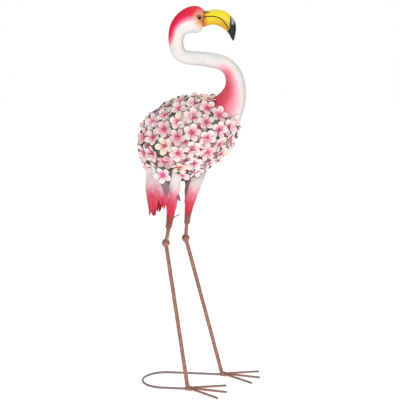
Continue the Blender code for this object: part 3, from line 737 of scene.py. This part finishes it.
def beak():
    sides = 24
    path = spline(BEAK_STATIONS, 2)
    sections = []
    for top_x, top_z, low_x, low_z, wide, _ in path:
        top, low = beak_point(top_x, top_z), beak_point(low_x, low_z)
        down = low - top
        lean = math.atan2(-down.z, down.x)
        sections.append(((top + low) / 2, lean, down.length / 2, wide * BEAK_LENGTH))
    piece = draw_out(sections, sides)
    mouths = set()
    for number, v in enumerate(piece.data.vertices):
        top_x, top_z, low_x, low_z, _, mouth = path[number // sides]
        top = beak_point(top_x, top_z)
        down = Vector((low_x - top_x, 0.0, low_z - top_z)) * BEAK_LENGTH
        share = (v.co - top).dot(down) / down.length_squared
        if share < 0.5:
            moved = share * mouth / 0.5
        else:
            moved = mouth + (share - 0.5) * (1 - mouth) / 0.5
        v.co += down * (moved - share)
        if abs(share - 0.5) < 0.02:
            mouths.add(number)
    select(piece, "EDGE", lambda edge: all(v.index in mouths for v in edge.verts)
           and edge.verts[0].index // sides != edge.verts[1].index // sides)
    bpy.ops.mesh.bevel(offset=0.0009, segments=2, affect="EDGES")
    bpy.ops.object.mode_set(mode="OBJECT")
    subdivide(piece, 2)
    lips = [beak_point(top_x + (low_x - top_x) * mouth, top_z + (low_z - top_z) * mouth)
            for top_x, top_z, low_x, low_z, _, mouth in spline(BEAK_STATIONS, 12)]
    to_mouth = {}
    for v in piece.data.vertices:
        flat = Vector((v.co.x, MIDDLE, v.co.z))
        gap = min((flat - lip).length for lip in lips)
        if abs(v.co.y - MIDDLE) > 0.001:
            v.co.y -= math.copysign(0.0007, v.co.y - MIDDLE) * step_up(gap, 0.0012, 0.0)
        to_mouth[tuple(v.co)] = gap
    nostril = beak_point(0.075, 0.190)

    def line(point):
        slit = Vector(((point.x - nostril.x) / 0.013, (point.z - nostril.z) / 0.0020)).length
        return max(step_up(to_mouth[tuple(point)], 0.0021, 0.0008), step_up(slit, 1.2, 0.7))

    def tip(point):
        forward = point.x - BEAK_ROOT.x - 0.06 * (point.z - BEAK_ROOT.z)
        lower = step_up(-(point.z - BEAK_ROOT.z), 0.026, 0.036) * 0.008
        return step_up(forward + lower, 0.0680, 0.0720)

    # Where the painted highlight lies on the black tip.
    def painted_tip_highlight(point):
        forward = point.x - BEAK_ROOT.x + 0.18 * (point.z - BEAK_ROOT.z)
        return (step_up(abs(forward - 0.0750), 0.0050, 0.0010)
                * step_up(point.z - BEAK_ROOT.z, -0.024, -0.008) * tip(point))

    mark(piece, "line", line)
    mark(piece, "ridge", lambda p: step_up(p.z - BEAK_ROOT.z, -0.018, 0.024))
    mark(piece, "root", lambda p: 1.0 - step_up(p.x - BEAK_ROOT.x, -0.002, 0.021))
    mark(piece, "tip", tip)
    mark(piece, "painted_tip_highlight", painted_tip_highlight)
    hand_in(piece, "beak_skin", BEAK_ENAMEL, ["beak"])


# Body shell

def egg_depth(point):
    """Below one inside the body's shell, one on it, more outside."""
    out = point - BODY_MIDDLE
    share = out.dot(AXIS) / (BODY_LENGTH / 2)
    taper = 1.0 - EGG_TAPER * share
    high = out.dot(LIFT) / (BODY_HEIGHT / 2 * taper)
    wide = out.y / (BODY_WIDTH / 2 * taper)
    return share ** 2 + high ** 2 + wide ** 2


def egg_hit(start, direction):
    """Where a ray from inside the shell leaves it."""
    inside, outside = 0.0, BODY_LENGTH
    for _ in range(30):
        middle = (inside + outside) / 2
        if egg_depth(start + direction * middle) < 1.0:
            inside = middle
        else:
            outside = middle
    return start + direction * inside


def egg_normal(point):
    step = 0.0005
    slope = [egg_depth(point + way * step) - egg_depth(point - way * step)
             for way in (Vector((1.0, 0.0, 0.0)), Vector((0.0, 1.0, 0.0)), UP)]
    return Vector(slope).normalized()


def egg_underside(x, y):
    return egg_hit(Vector((x, y, BODY_MIDDLE.z)), -UP).z


def body_shell():
    deselect()
    bpy.ops.mesh.primitive_uv_sphere_add(segments=64, ring_count=32, radius=BODY_LENGTH / 2,
                                         location=BODY_MIDDLE,
                                         rotation=(0.0, math.pi / 2 - BODY_TILT, 0.0))
    piece = bpy.context.object
    settle(piece)

    def egg(point):
        out = point - BODY_MIDDLE
        along = out.dot(AXIS)
        taper = 1.0 - EGG_TAPER * along / (BODY_LENGTH / 2)
        dent = 1.0 + 0.006 * math.sin(310 * out.y) * math.sin(270 * out.dot(LIFT) + 4 * along)
        return (BODY_MIDDLE + AXIS * along
                + LIFT * out.dot(LIFT) * BODY_HEIGHT / BODY_LENGTH * taper * dent
                + Vector((0.0, out.y * BODY_WIDTH / BODY_LENGTH * taper * dent, 0.0)))

    sculpt(piece, egg)
    hand_in(piece, "body_shell", SHELL_PAINT, ["flower_body"])


# Flowers

def pressed_flower():
    """One flower, face up on the ground: five spoon-shaped petals, a button and a stub."""
    centre = (FLOWER_RADIUS - PETAL_LONG, 0.0, 0.0)
    petal = disc(12, PETAL_WIDE, centre)
    resize((PETAL_LONG / PETAL_WIDE, 1.0, 1.0), centre)
    bpy.ops.mesh.inset(thickness=0.0024)
    bpy.ops.mesh.inset(thickness=0.0030)
    bpy.ops.mesh.poke()
    settle(petal)

    def spoon(point):
        rim = Vector(((point.x - centre[0]) / PETAL_LONG, point.y / PETAL_WIDE)).length
        rise = 0.0034 + 0.40 * point.x - 2.0 * point.x ** 2
        narrow = 0.55 + 0.45 * step_up(point.x, 0.003, 0.014)
        return Vector((point.x, point.y * narrow, rise + 0.0026 * rim ** 2 - 0.0018 * rim ** 6))

    sculpt(petal, spoon)
    finish_with(petal, "SOLIDIFY", thickness=PETAL_SHEET, offset=-1.0)
    back = petal.data.attributes.new("back", "FLOAT", "POINT")
    heights = [v.co.z for v in petal.data.vertices]
    half = len(heights) // 2
    first_is_back = sum(heights[:half]) < sum(heights[half:])
    back.data.foreach_set("value", [float((k < half) == first_is_back)
                                    for k in range(2 * half)])
    edit_all(petal)
    bpy.ops.transform.rotate(value=math.radians(9.0), orient_axis="X",
                             center_override=(0.0, 0.0, 0.004))
    bpy.ops.mesh.spin(steps=PETALS - 1, angle=math.tau * (PETALS - 1) / PETALS, dupli=True,
                      center=(0.0, 0.0, 0.0), axis=(0.0, 0.0, 1.0))
    deselect()
    bpy.ops.mesh.primitive_uv_sphere_add(segments=10, ring_count=6, radius=BUTTON_RADIUS,
                                         location=(0.0, 0.0, BUTTON_HEIGHT))
    button = bpy.context.object
    bpy.ops.object.mode_set(mode="EDIT")
    resize((1.0, 1.0, 0.55), (0.0, 0.0, BUTTON_HEIGHT))
    deselect()
    bpy.ops.mesh.primitive_cylinder_add(vertices=10, radius=STUB_RADIUS, depth=STUB_LENGTH,
                                        location=(0.0, 0.0, -0.0015))
    stub = bpy.context.object
    select(stub, "FACE", lambda face: face.normal.z > 0.5)
    resize((0.6, 0.6, 1.0), (0.0, 0.0, 0.0032))
    bpy.ops.object.mode_set(mode="OBJECT")
    for piece in (button, stub):
        settle(piece)
        mark(piece, "back", lambda point: float(piece is stub))
    pick(petal, button, stub)
    bpy.ops.object.join()
    mark(petal, "heart", lambda p: math.hypot(p.x, p.y) / FLOWER_RADIUS
         * (1.0 + 0.35 * abs(math.sin(PETALS / 2 * math.atan2(p.y, p.x)))))
    return petal


def set_flower(master, spot, facing, size):
    """A copy of the flower on the body, with its own turn, tilt, tint and bent petals."""
    flower = master.copy()
    flower.data = master.data.copy()
    bpy.context.scene.collection.objects.link(flower)
    lifts = [DICE.uniform(-0.0022, 0.0016) for _ in range(PETALS)]
    tint = DICE.random()
    tints = [0.7 * tint + 0.3 * DICE.random() for _ in range(PETALS)]

    def petal_of(point):
        return round(math.atan2(point.y, point.x) / (math.tau / PETALS)) % PETALS

    mark(flower, "tint", lambda p: tints[petal_of(p)])
    lean = Vector((DICE.uniform(-1, 1), DICE.uniform(-1, 1), DICE.uniform(-1, 1))) * 0.14
    place = (Matrix.Translation(spot)
             @ (facing + lean).normalized().to_track_quat("Z", "Y").to_matrix().to_4x4()
             @ Matrix.Rotation(DICE.uniform(0.0, math.tau), 4, "Z") @ Matrix.Scale(size, 4))

    def bent(point):
        reach = math.hypot(point.x, point.y) / FLOWER_RADIUS
        lift = lifts[petal_of(point)] * reach ** 2 if point.z > 0.003 or reach > 0.3 else 0.0
        return place @ (point + UP * lift)

    sculpt(flower, bent)
    return flower


def leg_line(side, share):
    """The upper leg's middle line, from the knee at 0 to the hip inside the body at 1."""
    x, y = HIP_FORWARD[side], MIDDLE + SIDES[side] * HIP_SPREAD / 2
    hip = Vector((x, y, egg_underside(x, y) + HIP_SINK))
    knee = Vector((KNEE_FORWARD[side], MIDDLE + SIDES[side] * KNEE_SPREAD / 2, KNEE_HEIGHT))
    return knee.lerp(hip, share) + Vector((LEG_BOW[side] * 4 * share * (1 - share), 0.0, 0.0))


def thigh_axis(side, t):
    low = SLEEVE_RISE / (leg_line(side, 1.0).z - KNEE_HEIGHT)
    return leg_line(side, low + (1 - low) * t) + Vector((THIGH_LEAN[side] * t ** 3, 0.0, 0.0))


def thigh_radius(side, t):
    return SLEEVE_RADIUS + (THIGH_RADIUS[side] - SLEEVE_RADIUS) * step_up(t, 0, THIGH_SWELL[side])


def low_flower_place():
    back, aside, _, _, _, _, cup, _, _ = TAIL_FEATHERS["front"]
    x, y = BODY_MIDDLE.x + back * BODY_LENGTH, MIDDLE - aside * BODY_WIDTH
    rise = egg_underside(x, y) + TAIL_SINK
    return (Vector((x + LOW_FLOWER[0], y - cup * FEATHER_BULGE - LOW_PROUD,
                    rise - LOW_FLOWER[1])),
            Vector((0.0, -math.cos(LOW_TILT), -math.sin(LOW_TILT))))


def covered(point, path, margin):
    """True where the neck, a thigh or the hanging flower leaves no room for a flower."""
    if (point - low_flower_place()[0]).length < LOW_ROOM:
        return True
    for x, z, high, wide in path:
        if (point - Vector((x, MIDDLE, z))).length < (high + wide) / 2 + margin:
            return True
    for side in SIDES:
        top = thigh_axis(side, 1.0)
        reach = math.hypot(point.x - top.x, point.y - top.y)
        if reach < THIGH_RADIUS[side] and point.z < BODY_MIDDLE.z:
            return True
    return False


def flower_ring(ring, stagger):
    """Spots on the shell of one ring's flowers, counted from the middle ring; the ring's number
    may be a fraction."""
    half_x = math.hypot(BODY_LENGTH / 2 * AXIS.x, BODY_HEIGHT / 2 * LIFT.x)
    half_z = math.hypot(BODY_LENGTH / 2 * AXIS.z, BODY_HEIGHT / 2 * LIFT.z)
    drift = ((BODY_LENGTH ** 2 - BODY_HEIGHT ** 2) / 4 * AXIS.x * AXIS.z) / half_x ** 2
    turn_in = ring * RING_PITCH / ((half_x + half_z) / 2 + FLOWER_RISE) + RING_SHIFT
    along = half_x * math.sin(turn_in)
    start = BODY_MIDDLE + Vector((along, 0.0, along * drift))
    girth = math.tau * (math.cos(turn_in) * (half_z + BODY_WIDTH / 2) / 2 + FLOWER_RISE / 2)
    count = max(3, round(girth / FLOWER_PITCH))
    turns = [math.tau * (k + stagger) / count for k in range(count)]
    return [egg_hit(start, Vector((0.0, -math.cos(turn), math.sin(turn)))) for turn in turns]


def gaps(taken, path):
    """Spots for small flowers between the others, the widest gaps first."""
    spots = [spot for quarter in range(4 * len(RING_STAGGER) - 3)
             for shift in (0.0, 0.25, 0.5, 0.75)
             for spot in flower_ring(quarter / 4 - MIDDLE_RING, shift)
             if not covered(spot, path, SMALL_NECK_ROOM)]
    rooms = [min((spot - other).length for other in taken) for spot in spots]
    while max(rooms) > LEAST_ROOM:
        chosen = spots[rooms.index(max(rooms))]
        yield chosen
        rooms = [min(room, (spot - chosen).length) for room, spot in zip(rooms, spots)]


def flowers():
    master = pressed_flower()
    path = neck_path(NECK_PATH_STEPS)

    def bed(name, places, nodes=()):
        planted = [set_flower(master, *place) for place in places]
        pick(*planted)
        if len(planted) > 1:
            bpy.ops.object.join()
        hand_in(planted[0], name, FLOWER_ENAMEL, nodes)

    taken = []
    for number, stagger in enumerate(RING_STAGGER):
        spots = [spot for spot in flower_ring(number - MIDDLE_RING, stagger)
                 if not covered(spot, path, NECK_ROOM)]
        taken += spots
        if spots:
            bed("flower_ring_%d" % number,
                [(spot + egg_normal(spot) * DICE.uniform(-0.001, 0.0008), egg_normal(spot),
                  DICE.uniform(0.96, 1.05)) for spot in spots])
    breast = []
    for sign in SIDES.values():
        forward, aside, up = BREAST_FLOWER
        spot = BODY_MIDDLE + Vector((forward * BODY_LENGTH, sign * aside * BODY_WIDTH,
                                     up * BODY_HEIGHT))
        facing = Vector((BREAST_FACING[0], sign * BREAST_FACING[1], BREAST_FACING[2]))
        breast.append((spot, facing.normalized(), 1.0))
        taken.append(spot)
    bed("breast_flowers", breast)
    fill = []
    for spot in gaps(taken, path):
        normal = egg_normal(spot)
        fill.append((spot - normal * UNDER_SINK, normal, DICE.uniform(0.78, 0.92)))
    bed("under_flowers", fill)
    rear = []
    for ring, stagger, count in REAR_RINGS:
        for spot in flower_ring(ring, stagger)[:count]:
            normal = egg_normal(spot)
            rear.append((spot - normal * REAR_SINK, normal, DICE.uniform(0.94, 1.02)))
    bed("rear_flowers", rear)
    spot, facing = low_flower_place()
    bed("hanging_flower", [(spot, facing, 1.0)], ["low_flower"])
    bpy.data.objects.remove(master, do_unlink=True)


# Tail feathers and thighs

def wedge(place):
    """Painted shade on a front feather there: 1 between the wedge's edges and 0 beyond them."""
    drop = WEDGE_TOP - place.z
    back = WEDGE_BACK + WEDGE_BACK_SLOPE * drop
    front = WEDGE_FRONT - WEDGE_FRONT_SLOPE * drop
    before_back = step_up(place.x, back - 0.001, back + 0.002)
    return before_back * step_up(-place.x, -front - 0.002, -front + 0.001)


def feather(name, back, aside, swing, facing, length, width, cup, teeth, torn):
    """A cupped leaf of sheet with a pressed shaft, combed barbs and a torn end."""
    x, y = BODY_MIDDLE.x + back * BODY_LENGTH, MIDDLE + aside * BODY_WIDTH
    top = Vector((x, y, egg_underside(x, y) + TAIL_SINK))
    tip = top + Vector((swing, 0.0, -length))
    outward = Vector((math.cos(facing), math.sin(facing), 0.0))
    across = Vector((-outward.y, outward.x, 0.0))

    def leaf(point):
        v, t = point.x, (1.0 - point.y) / 2
        bite = torn * (0.5 - 0.5 * math.cos(math.pi * teeth * (v + 1.0))) * t ** 5
        t_torn = t * (1.0 - bite)
        middle = top.lerp(tip, t_torn)
        bulge = cup * FEATHER_BULGE * math.sin(math.pi * t) ** 2
        half = width / 2 * (0.06 + 0.94 * (1 - t ** 3.2) ** 0.7)
        barb = 0.00035 * math.sin(150.0 * (t + 0.22 * abs(v))) * min(1.0, 4 * abs(v))
        barb += 0.0009 * math.exp(-(half * v / 0.0013) ** 2)  # the shaft
        ripple = 0.0010 * math.sin(17.0 * t + 5.0 * v) * v * v
        place = (middle + across * half * v
                 + outward * (bulge - cup * v * v + barb + ripple))
        # Painted shade: the wedge on the front feathers, and a lighter shade along every feather's
        # edges.
        bare_and_shade = wedge(place) if "front" in name else 0.0
        return place, max(bare_and_shade, 0.35 * step_up(abs(v), 0.8, 1.0))

    piece = lay_sheet(24, 60, leaf)
    hand_in(piece, name + "_sheet", TAIL_ENAMEL, [name])


def tail():
    for name, (back, aside, swing, facing, *rest) in TAIL_FEATHERS.items():
        if name == "middle":
            feather("tail_feather_middle", back, aside, swing, facing, *rest)
            continue
        for side, sign in SIDES.items():
            feather("tail_feather_%s_%s" % (name, side), back, sign * aside, swing,
                    math.copysign(facing, sign), *rest)


def thigh(side):
    """Sheet wrapped round the leg from an open strip, with its tongues."""
    high_seam, low_seam = SEAM[side]

    def wrap(point):
        share, t = (point.x + 1.0) / 2, (point.y + 1.0) / 2
        seam = high_seam + (low_seam - high_seam) * step_up(1.0 - t, 0.0, 0.85)
        turn = seam + (math.tau + LAP_TURN) * share
        lap = LAP_LOW + (LAP - LAP_LOW) * step_up(t, 0.0, 1.0)
        dent = 0.0005 * math.sin(40 * t + 2 * turn) * step_up(t, 0.1, 0.4)
        radius = thigh_radius(side, t) + lap * (1 - share) + dent
        place = thigh_axis(side, t) + Vector((math.cos(turn), math.sin(turn), 0.0)) * radius
        # Painted shade: the inner end of the sheet under the overlap, and the top of the far thigh.
        inner = step_up(share, 0.55, 0.80) * step_up(t, 0.25, 0.5)
        top_shade = THIGH_SHADE[side] * step_up(t, 0.45, 0.85)
        return place, max(inner, top_shade)

    piece = lay_sheet(64, 48, wrap)
    hand_in(piece, "thigh_%s_sheet" % side, THIGH_ENAMEL, ["thigh_" + side])
    for number, (share, heading, places, thick, wide) in enumerate(TONGUES[side]):
        radius = thigh_radius(side, share)
        points = spline([(radius + out, up, wide * taper)
                         for (out, up), taper in zip(places, (1.0, 0.95, 0.45))], 4)
        tongue = draw_out([(Vector((out, 0.0, up)), lean_at(points, k), thick, half)
                           for k, (out, up, half) in enumerate(points)], 12)
        edit_all(tongue)
        bpy.ops.transform.rotate(value=-math.radians(heading), orient_axis="Z",
                                 center_override=(0.0, 0.0, 0.0))
        bpy.ops.transform.translate(value=thigh_axis(side, share))
        bpy.ops.object.mode_set(mode="OBJECT")
        # Painted shade over the whole tongue, whose bent-out sheet lies in shade.
        mark(tongue, "painted_shade", lambda p: 1.0)
        hand_in(tongue, "thigh_%s_tongue_%d" % (side, number), THIGH_ENAMEL)


# Legs, feet and hoop

def foot_place(side):
    return Vector((FOOT_FORWARD[side], MIDDLE + SIDES[side] * FOOT_SPREAD / 2, 0.0))


def leg(side):
    knee, foot = leg_line(side, 0.0), foot_place(side)
    top = (SLEEVE_RISE + LEG_TOP) / (leg_line(side, 1.0).z - KNEE_HEIGHT)
    points = [foot.lerp(knee, 0.015)] + [foot.lerp(knee, k / 20) for k in range(1, 20)]
    points += [leg_line(side, top * k / 10) for k in range(11)]
    piece = run_rod(points, LEG_TUBE / 2, 24)
    sculpt(piece, lambda p: p + Vector((0.00018 * math.sin(90 * p.z + 3), 0.0, 0.0)))
    mark(piece, "bare_and_shade", lambda p: 0.0)
    hand_in(piece, "leg_%s_tube" % side, ROD_PAINT, ["leg_" + side])
    deselect()
    bpy.ops.mesh.primitive_uv_sphere_add(segments=32, ring_count=20, radius=KNEE_BALL,
                                         location=knee)
    ball = bpy.context.object
    for way in (1.0, -1.0):
        select(ball, "FACE", lambda face: face.calc_center_median().z * way > KNEE_CUT * KNEE_BALL)
        resize((1.0, 1.0, 0.0), knee + UP * way * KNEE_BALL * KNEE_CUT)
        extrude(UP * way * COLLAR_HEIGHT)
        resize((0.90, 0.90, 1.0), knee)
    settle(ball)
    mark(ball, "bare_and_shade", lambda p: 0.0)
    hand_in(ball, "knee_%s_ball" % side, ROD_PAINT, ["knee_" + side], 60.0)


def foot(side):
    """Three toes, and the lump of weld under the leg that webs their roots."""
    hub = foot_place(side)
    waist = LEG_TUBE / 2 + WELD_PROUD
    web = (ROD / 2 + 0.0004) / math.sin(TOE_FAN / 2)
    lump = disc(48, 1.0)
    levels = ((0.25, 1.0), (0.65, 0.95), (0.9, 0.75), (1.0, 0.45))
    before = 0.0
    for level, _ in levels:
        extrude(UP * WELD_HEIGHT * (level - before))
        before = level
    bpy.ops.mesh.inset(thickness=0.3)
    bpy.ops.object.mode_set(mode="OBJECT")

    def web_up(point):
        turn = math.atan2(point.y, point.x)
        level = point.z / WELD_HEIGHT
        size = 0.88
        for height, share in levels:
            if level > height - 0.01:
                size = share
        spread = step_up(2.4 - abs(turn) / TOE_FAN, 0.0, 1.0)
        knuckle = 0.5 + 0.5 * math.cos(math.tau * turn / TOE_FAN)
        reach = waist * max(size, 0.6) + (web - waist) * spread * size * (0.75 + 0.3 * knuckle)
        reach *= Vector((point.x, point.y)).length * (1.0 + 0.04 * math.sin(9 * turn + 5 * level))
        heading = turn + FOOT_TURN
        sag = 1.0 - 0.30 * spread * (1.0 - 0.5 * knuckle) * step_up(reach, 0.006, 0.016)
        return hub + Vector((math.cos(heading) * reach, math.sin(heading) * reach, point.z * sag))

    sculpt(lump, web_up)
    select(lump, "FACE", lambda face: face.normal.z < -0.5)
    bpy.ops.mesh.inset(thickness=0.001)
    bpy.ops.object.mode_set(mode="OBJECT")
    subdivide(lump, 1)
    sculpt(lump, lambda p: Vector((p.x, p.y, max(0.0, p.z))))
    mark(lump, "bare_and_shade", lambda p: 0.15)
    hand_in(lump, "weld_%s_lump" % side, ROD_PAINT, ["weld_" + side], 70.0)
    for name, fan in (("inner", -SIDES[side]), ("middle", 0.0), ("outer", SIDES[side])):
        heading = FOOT_TURN + fan * TOE_FAN
        out = Vector((math.cos(heading), math.sin(heading), 0.0))
        root = hub + out * 0.008 + UP * (ROD / 2 + TOE_LIFT)
        tip = hub + out * TOE_LENGTH + UP * (ROD / 2)
        points = [root.lerp(tip, k / 12) for k in range(13)]
        points.insert(12, root.lerp(tip, 0.985))
        toe = run_rod(points, ROD / 2, 20, ends=(1.0, 0.72))
        mark(toe, "bare_and_shade", lambda p: 0.9 * step_up((p - hub).length, 0.045, TOE_LENGTH))
        hand_in(toe, "toe_%s_%s_rod" % (side, name), ROD_PAINT,
                ["toe_%s_%s" % (side, name)])


def ground_hoop():
    """A rod from one foot round to the other: a straight run, half a turn, a straight run."""
    radius = FOOT_SPREAD / 2
    back = Vector((FOOT_FORWARD["right"] - HOOP_REACH + radius, MIDDLE, ROD / 2))
    start = Vector((FOOT_FORWARD["right"] - HOOP_SHORT, MIDDLE - radius, ROD / 2))
    piece = disc(20, ROD / 2, start, (0.0, math.pi / 2, 0.0))
    extrude(Vector((back.x - start.x, 0.0, 0.0)))
    bpy.ops.mesh.spin(steps=48, angle=math.pi, center=back, axis=(0.0, 0.0, 1.0))
    extrude(Vector((FOOT_FORWARD["left"] - HOOP_SHORT - back.x, 0.0, 0.0)))
    bpy.ops.mesh.select_all(action="SELECT")
    bpy.ops.mesh.remove_doubles(threshold=0.00001)
    close_skin(piece)
    mark(piece, "bare_and_shade", lambda p: 0.75)
    hand_in(piece, "ground_hoop_rod", ROD_PAINT, ["ground_hoop"])


# Stage, light and camera

def stage():
    deselect()
    bpy.ops.mesh.primitive_plane_add(size=40.0, location=(0.0, 0.0, -FLOOR_SINK))
    floor = bpy.context.object
    floor.name = "studio_floor"
    material = bpy.data.materials.new("white_studio_paper")
    material.use_nodes = True
    set_inputs(material.node_tree.nodes["Principled BSDF"], {
        "Base Color": "#FAFAFA", "Roughness": 0.9, "Specular IOR Level": 0.1,
        "Emission Color": "#FFFFFF", "Emission Strength": FLOOR_GLOW})
    floor.data.materials.append(material)


def lights():
    """A white sweep before and behind the bird, dimmer above it and at its sides, and soft
    lamps."""
    world = bpy.data.worlds.new("studio")
    world.use_nodes = True
    tree = world.node_tree
    way = add(tree, "TexCoord").outputs["Generated"]
    parts = add(tree, "SeparateXYZ", links={"Vector": way})
    glow = add(tree, "MapRange", {"From Min": 0.10, "From Max": 0.40, "To Min": 1.0,
                                  "To Max": 0.50}, {"Value": parts.outputs["Z"]})
    aside = add(tree, "Math", {"operation": "ABSOLUTE"}, {0: parts.outputs["X"]})
    flags = add(tree, "MapRange", {"From Min": 0.45, "From Max": 0.90, "To Min": 1.0,
                                   "To Max": 0.30}, {"Value": aside})
    glow = add(tree, "Math", {"operation": "MULTIPLY"}, {0: glow, 1: flags})
    tree.links.new(glow.outputs[0], tree.nodes["Background"].inputs["Strength"])
    tree.nodes["Background"].inputs["Color"].default_value = (1.0, 1.0, 1.0, 1.0)
    bpy.context.scene.world = world
    for name, place, size, power in LAMPS:
        data = bpy.data.lights.new(name, "AREA")
        data.size = size
        data.energy = power
        lamp = bpy.data.objects.new(name, data)
        lamp.location = place
        lamp.rotation_euler = (LAMP_TARGET - Vector(place)).to_track_quat("-Z", "Y").to_euler()
        bpy.context.scene.collection.objects.link(lamp)
    bpy.context.scene.view_settings.view_transform = "Standard"


def camera():
    data = bpy.data.cameras.new("camera")
    data.sensor_width = 36.0
    data.lens = CAMERA_LENS
    eye = bpy.data.objects.new("camera", data)
    eye.location = (CAMERA_FAR * math.sin(CAMERA_TURN),
                    MIDDLE - CAMERA_FAR * math.cos(CAMERA_TURN), CAMERA_HEIGHT)
    look = Vector((-math.sin(CAMERA_TURN) * math.cos(CAMERA_PITCH),
                   math.cos(CAMERA_TURN) * math.cos(CAMERA_PITCH), math.sin(CAMERA_PITCH)))
    eye.rotation_euler = look.to_track_quat("-Z", "Y").to_euler()
    bpy.context.scene.collection.objects.link(eye)
    bpy.context.scene.camera = eye


neck_and_head()
eyes()
beak()
body_shell()
flowers()
tail()
for each_side in SIDES:
    thigh(each_side)
    leg(each_side)
    foot(each_side)
ground_hoop()
stage()
lights()
camera()
